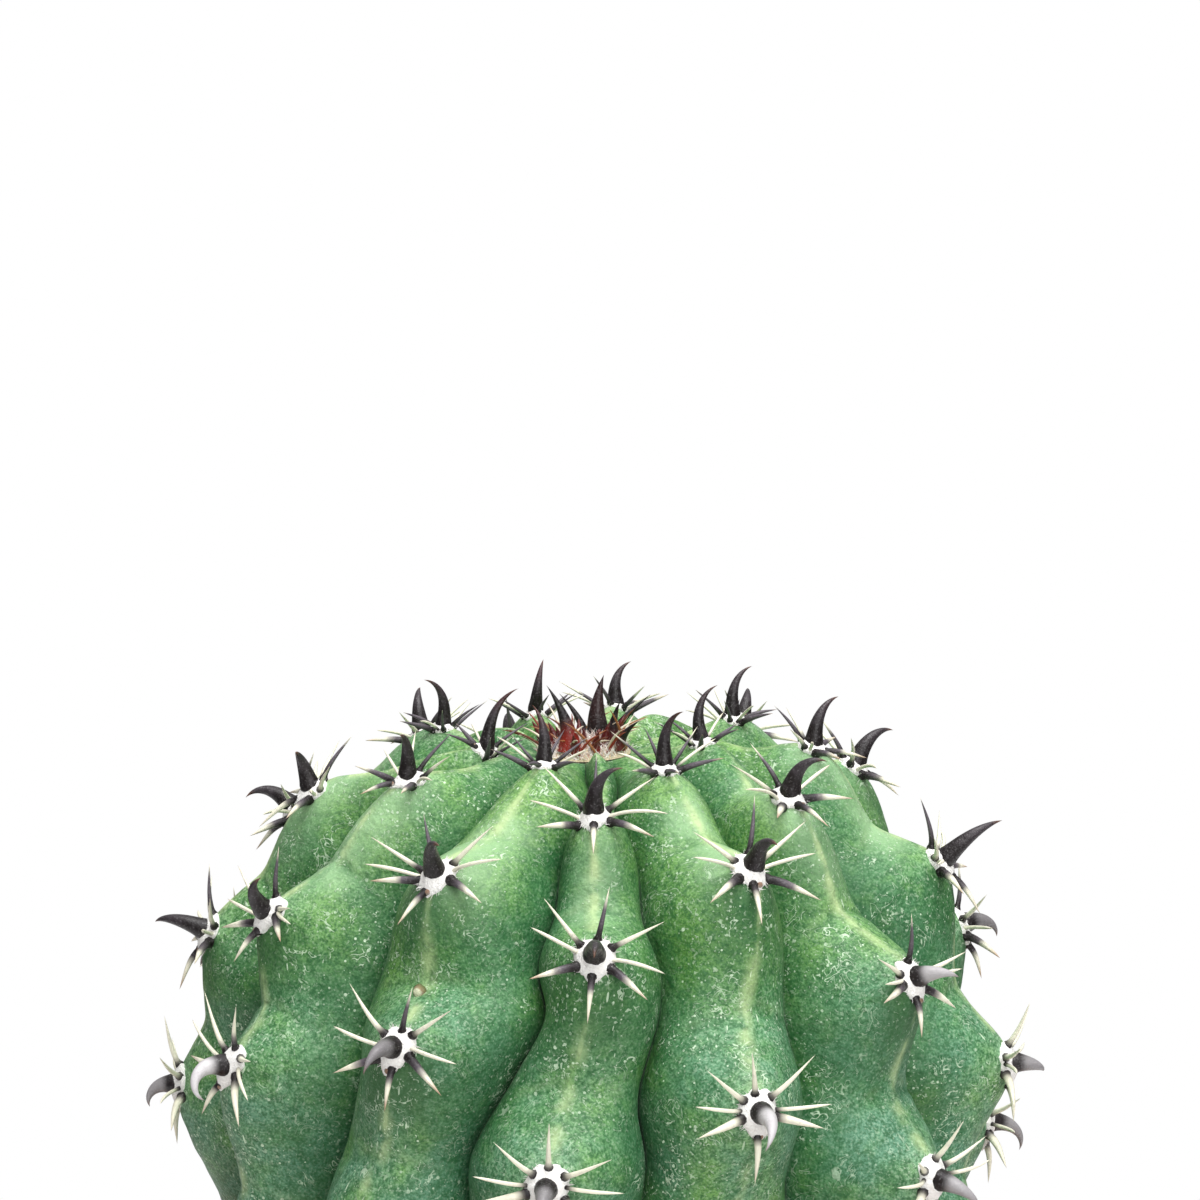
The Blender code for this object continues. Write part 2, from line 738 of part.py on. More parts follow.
def turn_profile(bm, points, segments):
    """Closed profile turned round the Z axis."""
    rings = []
    for radius, z in points:
        ring = []
        for i in range(segments):
            angle = 2.0 * math.pi * i / segments
            ring.append(bm.verts.new((radius * math.cos(angle), radius * math.sin(angle), z)))
        rings.append(ring)
    for k, ring in enumerate(rings):
        bridge(bm, ring, rings[(k + 1) % len(rings)])


def pot_profile():
    band_z = POT_HEIGHT - POT_BAND_HEIGHT
    band_foot = pot_outer_radius(band_z) + POT_BAND_STEP
    return rounded((
        (DRAIN_HOLE_RADIUS, 0.0, POT_SMALL_EDGE),
        (POT_FOOT_RADIUS, 0.0, POT_EDGE),
        (pot_outer_radius(band_z), band_z, 0.0),
        (band_foot, band_z, POT_SMALL_EDGE),
        (POT_RIM_RADIUS, POT_HEIGHT, POT_EDGE),
        (pot_inner_radius(POT_HEIGHT), POT_HEIGHT, POT_EDGE),
        (pot_inner_radius(POT_FLOOR), POT_FLOOR, 0.0),
        (DRAIN_HOLE_RADIUS, POT_FLOOR, POT_SMALL_EDGE),
    ))


def make_pot():
    return add_object("pot", lambda bm: turn_profile(bm, pot_profile(), POT_SEGMENTS))


def disc_body(bm, points, segments):
    """Solid turned round the Z axis whose profile starts and ends on the axis."""
    rings = []
    for radius, z in points[1:-1]:
        ring = []
        for i in range(segments):
            angle = 2.0 * math.pi * i / segments
            ring.append(bm.verts.new((radius * math.cos(angle), radius * math.sin(angle), z)))
        rings.append(ring)
    for upper, lower in zip(rings, rings[1:]):
        bridge(bm, upper, lower)
    cap(bm, rings[0], (0.0, 0.0, points[0][1]))
    cap(bm, rings[-1], (0.0, 0.0, points[-1][1]))
    split_quads(bm)


def make_gravel():
    bottom = POT_FLOOR + PIECE_GAP
    top = POT_FLOOR + GRAVEL_DEPTH
    points = (
        (0.0, top),
        (pot_inner_radius(top) - PIECE_GAP, top),
        (pot_inner_radius(bottom) - PIECE_GAP, bottom),
        (0.0, bottom),
    )
    return add_object("drain_gravel", lambda bm: disc_body(bm, points, POT_SEGMENTS))


def grit_inner_radius():
    """Radius of the grit's inner edge, which clears every rib of the stem where it enters the grit."""
    reach = 0.0
    for rib in range(RIBS):
        for run in (GRIT_RUN - RUN_STEP, GRIT_RUN):
            point = stem_point(rib, 0.0, run)
            if point.z < GRIT_TOP + GRIT_RELIEF:
                reach = max(reach, math.hypot(point.x, point.y))
    return reach + 2.0 * PIECE_GAP


def hole_radius(z):
    """Radius of the plain hole in the soil, which narrows evenly down to the root's tip."""
    top = GRIT_TOP - GRIT_DEPTH
    ends = (grit_inner_radius(), ROOT_RADIUS + 2.0 * PIECE_GAP)
    return between(ends, (top - z) / (top - ROOT_TIP_Z))


def make_mix():
    top = GRIT_TOP - GRIT_DEPTH - PIECE_GAP
    bottom = POT_FLOOR + GRAVEL_DEPTH + PIECE_GAP
    hole_floor = ROOT_TIP_Z - PIECE_GAP
    points = (
        (0.0, hole_floor),
        (hole_radius(ROOT_TIP_Z), hole_floor),
        (hole_radius(top), top),
        (pot_inner_radius(top) - PIECE_GAP, top),
        (pot_inner_radius(bottom) - PIECE_GAP, bottom),
        (0.0, bottom),
    )
    return add_object("potting_mix", lambda bm: disc_body(bm, points, POT_SEGMENTS))


def grit_body(bm):
    """Ring of crushed stone with a pebbly top."""
    rng = random.Random(GRIT_SEED)
    bottom = GRIT_TOP - GRIT_DEPTH
    inner = grit_inner_radius()
    outer = pot_inner_radius(GRIT_TOP) - PIECE_GAP
    rings = []
    for k in range(GRIT_RINGS + 1):
        edge = k in (0, GRIT_RINGS)
        relief = GRIT_EDGE_RELIEF if edge else GRIT_RELIEF
        scatter = 0.0 if edge else GRIT_SCATTER
        ring = []
        for i in range(POT_SEGMENTS):
            angle = 2.0 * math.pi * i / POT_SEGMENTS
            radius = between((inner, outer), (k + rng.uniform(-scatter, scatter)) / GRIT_RINGS)
            z = GRIT_TOP + rng.uniform(-relief, relief)
            ring.append(bm.verts.new((radius * math.cos(angle), radius * math.sin(angle), z)))
        rings.append(ring)
    for radius in (pot_inner_radius(bottom) - PIECE_GAP, inner):
        ring = []
        for i in range(POT_SEGMENTS):
            angle = 2.0 * math.pi * i / POT_SEGMENTS
            ring.append(bm.verts.new((radius * math.cos(angle), radius * math.sin(angle), bottom)))
        rings.append(ring)
    for k, ring in enumerate(rings):
        bridge(bm, ring, rings[(k + 1) % len(rings)])
    split_quads(bm)


def make_grit():
    return add_object("top_grit", grit_body)


def give_material(obj):
    colour, roughness = FINISHES[obj.name]
    material = bpy.data.materials.new(obj.name)
    material.use_nodes = True
    shader = material.node_tree.nodes["Principled BSDF"]
    shader.inputs["Base Color"].default_value = (*colour, 1.0)
    shader.inputs["Roughness"].default_value = roughness
    shader.inputs["Metallic"].default_value = 0.0
    obj.data.materials.clear()
    obj.data.materials.append(material)


def shade_round(obj, sharp_angle):
    obj.data.shade_smooth()
    obj.data.set_sharp_from_angle(angle=sharp_angle)


def build():
    clear_scene()
    stem = make_stem()
    pot = make_pot()
    for obj in (stem, make_tuft(), pot, make_mix(), make_grit(), make_gravel()):
        give_material(obj)
    shade_round(stem, STEM_SHARP)
    shade_round(pot, POT_SHARP)


build()
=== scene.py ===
"""Looks of the potted barrel cactus: fine skin, wool, spines, pot, grit, camera and light."""

from math import asin, atan2, cos, exp, floor, hypot, pi, radians, sin, sqrt
import random

import bpy
import bmesh
from mathutils import Matrix, Vector, noise


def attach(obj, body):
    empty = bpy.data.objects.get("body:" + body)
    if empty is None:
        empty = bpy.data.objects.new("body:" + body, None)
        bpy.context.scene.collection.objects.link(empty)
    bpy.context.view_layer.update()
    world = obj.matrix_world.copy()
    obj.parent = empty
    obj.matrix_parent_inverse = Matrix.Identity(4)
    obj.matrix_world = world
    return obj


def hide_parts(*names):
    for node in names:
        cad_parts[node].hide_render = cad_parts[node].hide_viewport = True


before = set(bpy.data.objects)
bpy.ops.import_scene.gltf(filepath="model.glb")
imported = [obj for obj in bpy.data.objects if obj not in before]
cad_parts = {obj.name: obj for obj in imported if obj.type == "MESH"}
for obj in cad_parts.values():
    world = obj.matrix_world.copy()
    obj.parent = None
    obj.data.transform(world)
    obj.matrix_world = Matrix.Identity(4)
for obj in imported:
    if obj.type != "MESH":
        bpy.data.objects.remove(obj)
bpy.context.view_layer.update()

# Camera: where the photograph was taken from, its focal length in photo pixels and its size
PHOTO_SIZE = 1200
FOCAL_PIXELS = 3913
CAMERA_DISTANCE = 0.7545
CAMERA_RISE = 0.208
CAMERA_PITCH = radians(-8.39)
CAMERA_YAW = radians(-0.07)
SENSOR_WIDTH = 36
CAMERA_NEAR = 0.02
UP = Vector((0, 0, 1))
FULL_TURN = 2 * pi
WHITE = (1, 1, 1)

# Pot and its fill, as in the part
POT_HEIGHT = 0.15
POT_RIM_RADIUS = 0.1
POT_BAND_HEIGHT = 0.03
POT_BAND_STEP = 0.0045
POT_FOOT_RADIUS = 0.069
POT_WALL = 0.008
POT_FLOOR = 0.01
POT_EDGE = 0.0025
POT_SMALL_EDGE = 0.0015
DRAIN_HOLE_RADIUS = 0.009
PIECE_GAP = 0.0003
GRIT_TOP = 0.138
GRIT_DEPTH = 0.006

# Stem above the grit, as in the part
GLOBE_CENTRE_Z = 0.2
GLOBE_RADIUS = 0.0829
GLOBE_RISE = 0.0796
SHOULDER_POWER = 0.898
APEX_DIMPLE = 0.0116
APEX_DIMPLE_WIDTH = 0.032
LOWER_TAPER = 4.4
HOLLOW_RADIUS = 0.0105
HOLLOW_DROP = 0.003
HOLLOW_SLOPE = (0.008, 0.0185)
RELIEF_FULL_RADIUS = 0.0175
LEAN = radians(1.93)
LEAN_FADE = 14
FOOT_FADE = 11
FOOT_RELIEF = 0.15

# Ribs and tubercles, as in the part
RIBS = 13
RIB_STEP = FULL_TURN / RIBS
FIRST_RIB = radians(-1.4)
RIB_TWIST = radians(-0.35)
AREOLE_POLAR = radians(59.8)
AREOLE_STEP = radians(2.05)
AREOLE_STRETCH = radians(0.006)
RUN_LENGTH = GLOBE_RADIUS * AREOLE_STEP
AREOLES_ROUND = 13
RIB_STRIDE = 8
RIBS_ON = 5
PINCH_DEPTH = 0.008
PINCH_AT = 0.57
PINCH_POINT = 1.6
PAD_ROUND = 0.6
RIB_PINCH = {0: 1.25, 1: 1.2, 2: 1.3, 10: 0.6, 11: 0.75, 12: 1.1}
PINCH_BLEND = 2.5
FURROW_DEPTH = 0.0205
FURROW_SCALING = 0.8
FLANK_ROUND = 1.25
FLANK_FULL = 1.3
FULL_FLANKS = {(0, "left"): 2.2, (0, "right"): 2.2, (1, "left"): 1.8, (12, "right"): 1.8}
RIB_SWAY = radians(1.2)
FURROW_SWAY = radians(1.3)
SWAY_SEED = 5
FIRST_AREOLE = -24
LAST_AREOLE = 29
FIRST_RING = -26.2
GRIT_RUN = 32.6
# Areoles that stand off the spiral: degrees to the side and steps down
AREOLE_NUDGE = {
    -24: (14, -0.8),
    -21: (8, 0),
    -19: (-10, -2),
    -18: (-8, -0.6),
    -13: (-1, 0),
    -11: (-5, 0),
    -10: (-9, -2.2),
    -8: (0, 0.9),
    -7: (-3, -2),
    -5: (1, -1.6),
    -3: (-4, 1),
    0: (2, -1.2),
    3: (-1, 0.5),
    5: (4, 0),
    8: (-1.5, 1.4),
    10: (2, -1.7),
    11: (1.5, 1.3),
    15: (0, -1.8),
    16: (1.5, 0),
}
# Furrows turned to the side above the lower end of the pull, in degrees
FURROW_PULL = {0: -4, 12: 6}
PULL_FROM = -16
PULL_TO = 12

# The furrow right of rib 12 swings to the right: middle and half width as places in the run, degrees
FURROW_BEND = {12: (1.2, 3.2, 4)}
NO_BEND = (0, 1, 0)

# Spines, as in the part
SPINE_INSET = 0.0012
ROOT_SINK = 0.0024
SPINE_CLEARANCE = 0.003
SPINE_SEED = 17
YOUNG_CLUSTER = 0.72
CLUSTER_GROWN = -8
CLOCK_SPREAD = 7
LENGTH_SPREAD = (0.9, 1.1)
RISE_SPREAD = (-3, 5)
YOUNG_RISE = 14
YOUNG_RUNS = (-22, -10)
HOOK_LENGTH = 0.0105
HOOK_RADIUS = 0.00245
HOOK_START = 0.0006
HOOK_BEND = 1.7
HOOK_YOUNG = -18
HOOK_OLD = 0
HOOK_CLOCK = 150
HOOK_RISES = (0.4, 0)
HOOK_TURNS = (80, 105)
HOOK_CLOCK_SPREAD = 30
HOOK_LENGTH_SPREAD = (0.92, 1.08)
# Radial spines: clock angle, length and rise
RADIALS = (
    (0, 0.0118, 12),
    (-54, 0.0132, 9),
    (58, 0.013, 9),
    (-81, 0.0124, 5),
    (85, 0.0128, 5),
    (-113, 0.0122, 4),
    (118, 0.0118, 4),
    (185, 0.0112, 5),
)
# Measured clock angles of the areoles in front
CLUSTER_CLOCKS = {
    -13: (2, -46, 62, -88, 98, -120, 122, 180),
    -8: (-32, -78, 42, -100, 70, -114, 108, 188),
    -5: (16, -54, 62, -80, 88, -120, 130, 196),
    -3: (-12, -84, 62, -110, 74, -136, 92, 172),
    0: (9, -46, 62, -70, 102, -116, 128, 182),
    3: (-2, -64, 84, -84, 96, -98, 132, 198),
    5: (10, -52, 46, -88, 86, -128, 112, 168),
    8: (-12, -50, 46, -79, 89, -103, 108, 186),
}
# Hooked spines that show in front: clock angle of the curl, upward share at the root, turn and length
HOOK_SHAPES = {
    -24: (30, 0.1, 60, 0.013),
    -23: (150, 0.25, 80, 0.0115),
    -21: (-80, 0.3, 50, 0.011),
    -20: (175, 0.25, 85, 0.0112),
    -19: (125, 0.25, 85, 0.0115),
    -18: (160, 0.45, 85, 0.0122),
    -16: (135, 0.45, 85, 0.0115),
    -13: (95, 0.45, 90, 0.011),
    -11: (100, 0.45, 85, 0.01),
    -10: (150, 0.3, 100, 0.0105),
    -8: (120, 0.45, 85, 0.0115),
    -7: (165, 0.25, 85, 0.0113),
    -5: (180, 0.35, 85, 0.0105),
    -3: (30, 0.45, 85, 0.0095),
    -2: (130, 0.25, 60, 0.014),
    0: (180, 0.15, 75, 0.011),
    2: (-125, 0.1, 85, 0.0115),
    3: (130, 0.15, 90, 0.0085),
    5: (180, 0, 90, 0.0105),
    6: (180, 0, 110, 0.0088),
    8: (-145, 0, 90, 0.0118),
    10: (140, 0, 170, 0.012),
    11: (130, 0, 100, 0.0075),
    15: (160, 0, 120, 0.008),
}

# Crown tuft, as in the part
TUFT_RADIUS = 0.0092
TUFT_RISE = 0.0026
TUFT_SEED = 29
YOUNG_SPINES = 16
YOUNG_LENGTH = 0.0062
YOUNG_LENGTH_SPREAD = (0.8, 1.15)
YOUNG_RADIUS = 0.0012
YOUNG_ROOT = 0.0008
YOUNG_SPIRAL = radians(137.5)
YOUNG_PLACES = (0.25, 0.85)
YOUNG_SPLAY = (0.35, 0.75)
# Hooks of the crown: foot, tip, rise and radius
CROWN_HOOKS = (
    (0.0032, 0.0052, 0.0044, 0.0062, 0.0128, 0.0024),
    (0.0006, 0.006, -0.0046, 0.0082, 0.0098, 0.001),
    (0.0052, 0.0056, 0.0136, 0.007, 0.009, 0.001),
    (-0.0026, -0.0052, -0.0068, -0.004, 0.0128, 0.0026),
    (0.0062, -0.001, 0.0076, -0.0022, 0.0096, 0.0013),
    (0.007, -0.0046, 0.0112, -0.007, 0.0062, 0.0012),
)
CROWN_HOOK_BOW = 0.0012
CROWN_HOOK_LIFT = 0.5

# Skin: mesh, unevenness and the crease in the pinch between two tubercles
SKIN_COLUMNS = 24
SKIN_SPREAD = 1.35
SKIN_RUN_STEP = 0.25
SKIN_ROUGH = 0.00038
SKIN_WAVES = ((75, 1), (190, 0.5), (430, 0.25))
SKIN_WAVES_RUN = -16
RIB_SHIFT = 0.31
CREASE_SLANT = 0.13
CREASE_WIDTH = 0.026
CREASE_EDGE = 0.045
CREASE_DEPTH = 0.0005
HALO_REACH = 0.0085
# Painted shade under the tubercles and pads: the runs where it comes in, and the areoles where it ends
SHADED_RUNS = (-12, -4)
SHADED_END = (7.2, 5.5)
# Runs where the upper flanks carry a painted highlight, paler where the light from above falls
PAINTED_HIGHLIGHT_RUNS = (-2, -7)
PAINTED_HIGHLIGHT_END = (-20, -14)

# Wool pads: probes for the skin under them, half width, reach up and down, dome and edge
SEAT_PROBE = 0.3
SLOPE_ABOVE = 0.6
SLOPE_BELOW = 1.2
FELT_WIDTH = 0.0041
FELT_UP = 0.0041
FELT_DOWN = 0.0054
FELT_SQUARE = 2.6
FELT_POINTED = 1.35
FELT_DOME = 0.0008
FELT_EDGE = 0.00045
FELT_RAGGED = 0.14
FELT_WAVES = 3
FELT_LUMP = 0.45
FELT_GRAIN = 900
FELT_ROUND = 2.6
FELT_TUCK = 0.96
FLANK_TURN = 0.45
FELT_RINGS = 8
FELT_SPOKES = 40
FELT_HAIRS = 70
FELT_HAIR = (0.0006, 0.0014)
HAIR_WIDTH = 0.00007
GLAND_RADIUS = 0.00065
GLAND_DOWN = 0.8
GLAND_RINGS = 4
GLAND_SIDES = 12
WART_SIDES = 16
WART_RAGGED = 0.12
WART_WAVES = 900

# Radial spines: sides, places of the sections, and the dark bulb that sits in the felt
RADIAL_SIDES = 9
RADIAL_SHARES = (0, 0.03, 0.07, 0.11, 0.15, 0.19, 0.24, 0.32, 0.42, 0.53, 0.64, 0.75, 0.85, 0.93, 1)
BULB_SHARE = 0.11
BULB_REACH = 0.0035
BULB_LIFT = 0.0006
BULB_SINK = 0.001
# Each radial spine's bulb radius, shaft radius and how far up it is dark
RADIAL_LOOKS = (
    (0.00095, 0.00058, 0.85),
    (0.00095, 0.00055, 0.26),
    (0.00095, 0.00055, 0.26),
    (0.00045, 0.00038, 0),
    (0.00045, 0.00038, 0),
    (0.00115, 0.00088, 0.5),
    (0.00115, 0.00088, 0.5),
    (0.001, 0.00072, 0.42),
)
HOOK_SIDES = 18
HOOK_PARTS = 22
RUSTY = (5, 6, 7)
THIN = (3, 4)
# Where the colours of spines turn from young and to old, as places in the run
RADIAL_YOUNG = (-13, -21)
RADIAL_OLD = (6, 10)
HOOK_REDDISH = (-12, -21)
HOOK_SILVERED = (2, 9)
# How silvery the hooks of the areoles in front have turned
HOOK_SILVER = {3: 0.6, 5: 0.25, 8: 0.8, 10: 0.9, 11: 0.35, 15: 0.35}

# Crown: wool, loose hairs and young spines
WOOL_SPOKES = 60
WOOL_RINGS = 11
CROWN_HAIRS = 1700
CROWN_HAIR = (0.001, 0.003)
# Young spines: parts along each and sides round it, bow and taper
YOUNG_MESH = (12, 12)
CROWN_HOOK_MESH = (16, 16)
BRISTLE_MESH = (9, 7)
YOUNG_BOW = 0.06
YOUNG_TAPER = 1.6
BRISTLES = 46
BRISTLE_RADIUS = 0.00028
BRISTLE_LENGTH = (0.006, 0.011)
BRISTLE_BOW = 0.0008
BRISTLE_TAPER = 3

# Light: the sky's strength above and below and its share at the sides; each lamp's place, size and power
SKY_ABOVE = 0.92
SKY_BELOW = -0.15
SKY_ASIDE = 0.4
LIGHTS = (
    ("top_softbox", (0.25, -0.38, 1.9), 1.4, 37),
    ("front_fill", (0.55, -1.8, 0.85), 1.2, 17.5),
)
FLOOR_RADIUS = 0.56
FLOOR_SIDES = 96
FLOOR_FADE = (0.3, 0.16)
FLOOR_WHITE = (0.9, 0.9, 0.9)
PLAIN_GLOSS = 0.5

# Grit: loose stones and the bed under them; pot: steps round it
PEBBLES = 1300
RIM_PEBBLES = 260
RIM_PEBBLE_SIZE = 0.7
GRIT_SEED = 53
PEBBLE_HALF = (0.0008, 0.0019)
PEBBLE_STRETCH = ((0.8, 1.35), (0.7, 1.1), (0.5, 0.8))
PEBBLE_MARGIN = 1.4
PEBBLE_SINK = 0.0004
PEBBLE_TILT = 0.6
PEBBLE_LUMP = 0.3
PEBBLE_WAVES = 1.5
PEBBLE_SCATTER = 900
PEBBLE_GREY = (0.55, 1.15)
BED_TURN = 312
BED_DROP = 0.0008
OUTLINE_STEP = 0.05
TINY_ANGLE = 0.0001
OUTLINE_SIDES = (-0.9, -0.7, -0.5, -0.25, 0, 0.25, 0.5, 0.7, 0.9, 1)
POT_TURN = 144
POT_ROUND = 6
POT_SHARP = radians(40)


def paint(red, green, blue):
    """Linear colour of display values from 0 to 255."""
    return tuple((value / 255) ** 2.2 for value in (red, green, blue))


def smooth(low, high, value):
    share = min(1, max(0, (value - low) / (high - low)))
    return share * share * (3 - 2 * share)


def between(ends, share):
    return ends[0] + (ends[1] - ends[0]) * share


def mix(first, second, share):
    return tuple(a + (b - a) * share for a, b in zip(first, second))


SKIN_GREEN = paint(86, 138, 84)
SKIN_YELLOW = paint(116, 164, 76)
SKIN_BLUE = paint(100, 146, 122)
# Deep green of the darker mottles, also used as painted shade under tubercles and pads, towards the furrows
# and in the creases
SKIN_DEEP = paint(36, 88, 48)
# Painted shade at the bottom of the furrows
FURROW_SHADE = paint(14, 40, 22)
# Pale green of the crest lines, also used as a painted highlight beside the creases
SKIN_KEEL = paint(196, 216, 158)
SKIN_CREAM = paint(222, 226, 190)
# Pale green round the pads, also laid on the upper flanks as a painted highlight
SKIN_HALO = paint(152, 190, 142)
SKIN_OLIVE = paint(88, 104, 62)
SKIN_CORK = paint(150, 134, 104)
SKIN_FLECK = paint(214, 236, 206)
FELT_WHITE = paint(252, 250, 246)
FELT_GREY = paint(196, 188, 182)
GLAND_BROWN = paint(150, 122, 104)
GRIT_BED = paint(122, 113, 103)
GRIT_DARK = paint(90, 83, 76)
GRIT_PALE = paint(205, 197, 186)
PEBBLE_TINTS = (paint(170, 157, 141), paint(180, 176, 168), paint(148, 128, 110))
CLAY_RED = paint(181, 116, 83)
CLAY_TAN = paint(202, 138, 105)
CLAY_PALE = paint(217, 168, 136)
CLAY_BLOOM = paint(228, 217, 202)
CLAY_GRAIN = paint(128, 85, 65)
SOIL_DARK = paint(55, 47, 39)
SOIL_PALE = paint(97, 85, 71)
GRAVEL_DARK = paint(122, 117, 110)
GRAVEL_PALE = paint(172, 166, 158)
WOOL_CREAM = paint(214, 200, 168)
WOOL_RED = paint(170, 70, 44)
SPINE_BLACK = paint(28, 22, 23)
SPINE_LILAC = paint(104, 96, 104)
SPINE_SILVER = paint(214, 210, 212)
SPINE_IVORY = paint(240, 236, 214)
SPINE_RUST = paint(150, 98, 62)
SPINE_RED = paint(134, 38, 28)
SPINE_MAROON = paint(84, 24, 22)

# Wart: rib, run and side, then each ring's radius, height and colour
WART_PLACE = (12, 0.9, -0.05)
WART_RINGS = (
    (0.0003, 0.0009, SKIN_CREAM),
    (0.0007, 0.0008, SKIN_CREAM),
    (0.001, 0.0005, SKIN_CORK),
    (0.0014, -0.0004, SKIN_OLIVE),
)

# Crown hooks: colours of foot and tip, and how blunt each is
CROWN_TINTS = (
    (SPINE_BLACK, mix(SPINE_BLACK, SPINE_MAROON, 0.15)),
    (SPINE_BLACK, SPINE_BLACK),
    (SPINE_BLACK, SPINE_BLACK),
    (SPINE_RED, SPINE_BLACK),
    (SPINE_MAROON, SPINE_BLACK),
    (SPINE_MAROON, SPINE_BLACK),
)
CROWN_TAPERS = (1.3, 1.5, 1.5, 0.75, 1.3, 1.3)


# Stem surface: the same formula as the part's


def polar_at(run):
    return AREOLE_POLAR + AREOLE_STEP * run + AREOLE_STRETCH * run * run


def run_at_radius(radius):
    polar = asin((radius / GLOBE_RADIUS) ** (1 / SHOULDER_POWER))
    root = sqrt(AREOLE_STEP ** 2 - 4 * AREOLE_STRETCH * (AREOLE_POLAR - polar))
    return (root - AREOLE_STEP) / (2 * AREOLE_STRETCH)


def envelope(polar):
    if polar > pi / 2:
        arc = (polar - pi / 2) * GLOBE_RADIUS
        return GLOBE_RADIUS - LOWER_TAPER * arc * arc, -arc
    radius = GLOBE_RADIUS * sin(max(polar, 0)) ** SHOULDER_POWER
    dimple = APEX_DIMPLE * exp(-(radius / APEX_DIMPLE_WIDTH) ** 2)
    dimple += HOLLOW_DROP * (1 - smooth(*HOLLOW_SLOPE, radius))
    return radius, GLOBE_RISE * cos(polar) - dimple


def inward(polar):
    small = 0.01
    r0, z0 = envelope(polar - small)
    r1, z1 = envelope(polar + small)
    length = hypot(r1 - r0, z1 - z0)
    return (z1 - z0) / length, -(r1 - r0) / length


def rib_sways():
    rng = random.Random(SWAY_SEED)
    return [rng.uniform(-RIB_SWAY, RIB_SWAY) for _ in range(RIBS)]


SWAYS = rib_sways()


def areole_place(number):
    turn, step = AREOLE_NUDGE.get(number, (0, 0))
    return number + step, radians(turn)


def rib_state(rib, run):
    number = rib * RIB_STRIDE % AREOLES_ROUND
    number += AREOLES_ROUND * floor((run - number) / AREOLES_ROUND)
    while areole_place(number)[0] > run:
        number -= AREOLES_ROUND
    while areole_place(number + AREOLES_ROUND)[0] <= run:
        number += AREOLES_ROUND
    start, turn = areole_place(number)
    end, next_turn = areole_place(number + AREOLES_ROUND)
    share = (run - start) / (end - start)
    azimuth = FIRST_RIB + rib * RIB_STEP + RIB_TWIST * run
    azimuth += turn + (next_turn - turn) * smooth(0, 1, share)
    azimuth += SWAYS[rib % RIBS] * sin(FULL_TURN * share)
    return azimuth, share


def pinch(share):
    if share < PINCH_AT:
        away = share / PINCH_AT
    else:
        away = (1 - share) / (1 - PINCH_AT)
    blunt = (1 + PAD_ROUND) * away * away / (away + PAD_ROUND)
    return 1 - (1 - blunt) ** PINCH_POINT


def furrow_azimuth(rib, run):
    left, left_share = rib_state(rib, run)
    right, right_share = rib_state(rib + 1, run)
    middle = (left + right) / 2
    middle += FURROW_SWAY * (pinch(right_share) - pinch(left_share))
    pull = radians(FURROW_PULL.get(rib % RIBS, 0))
    middle_run, half_width, turn = FURROW_BEND.get(rib % RIBS, NO_BEND)
    middle += radians(turn) * exp(-((run - middle_run) / half_width) ** 2)
    return middle + pull * (1 - smooth(PULL_FROM, PULL_TO, run))


def relief_scale(run, radius):
    scale = (max(radius, 0) / GLOBE_RADIUS) ** FURROW_SCALING
    scale *= smooth(HOLLOW_RADIUS, RELIEF_FULL_RADIUS, radius)
    return scale * (1 - (1 - FOOT_RELIEF) * smooth(GRIT_RUN - FOOT_FADE, GRIT_RUN, run))


def rib_depth(side, crest_depth, full):
    flank = 1 - (1 - min(side, 1) ** FLANK_ROUND) ** (1 / full)
    keeled = crest_depth + (FURROW_DEPTH - crest_depth) * flank
    held = crest_depth * (1 - side ** 3)
    rounded_off = (held ** PINCH_BLEND + (FURROW_DEPTH * flank) ** PINCH_BLEND) ** (1 / PINCH_BLEND)
    return (keeled + rounded_off) / 2


def upright(azimuth, radius, height):
    """Point round the upright axis, at an angle counted from the side that the photograph shows."""
    return Vector((radius * sin(azimuth), -radius * cos(azimuth), height))


def stem_point(rib, side, run):
    """Point of the stem's surface: side is -1 in the left furrow, 0 on the crest, 1 in the right one."""
    crest, share = rib_state(rib, run)
    if side < 0:
        azimuth = crest + side * (crest - furrow_azimuth(rib - 1, run))
    else:
        azimuth = crest + side * (furrow_azimuth(rib, run) - crest)
    polar = polar_at(run)
    radius, height = envelope(polar)
    crest_depth = PINCH_DEPTH * RIB_PINCH.get(rib % RIBS, 1) * pinch(share)
    full = FULL_FLANKS.get((rib % RIBS, "left" if side < 0 else "right"), FLANK_FULL)
    depth = rib_depth(abs(side), crest_depth, full) * relief_scale(run, radius)
    in_radius, in_height = inward(polar)
    radius = max(radius + in_radius * depth, 0)
    return lean(upright(azimuth, radius, height + in_height * depth), run)


def lean(point, run):
    angle = LEAN * (1 - smooth(GRIT_RUN - LEAN_FADE, GRIT_RUN, run))
    return Matrix.Rotation(-angle, 3, "Y") @ point + UP * GLOBE_CENTRE_Z


def hollow_point(angle, radius):
    low = envelope(0)[1]
    high = envelope(polar_at(run_at_radius(HOLLOW_RADIUS)))[1]
    return upright(angle, radius, low + (high - low) * radius / HOLLOW_RADIUS)


def swung(first, second, angle):
    """Direction turned by an angle from a first direction towards a second one."""
    return first * cos(angle) + second * sin(angle)


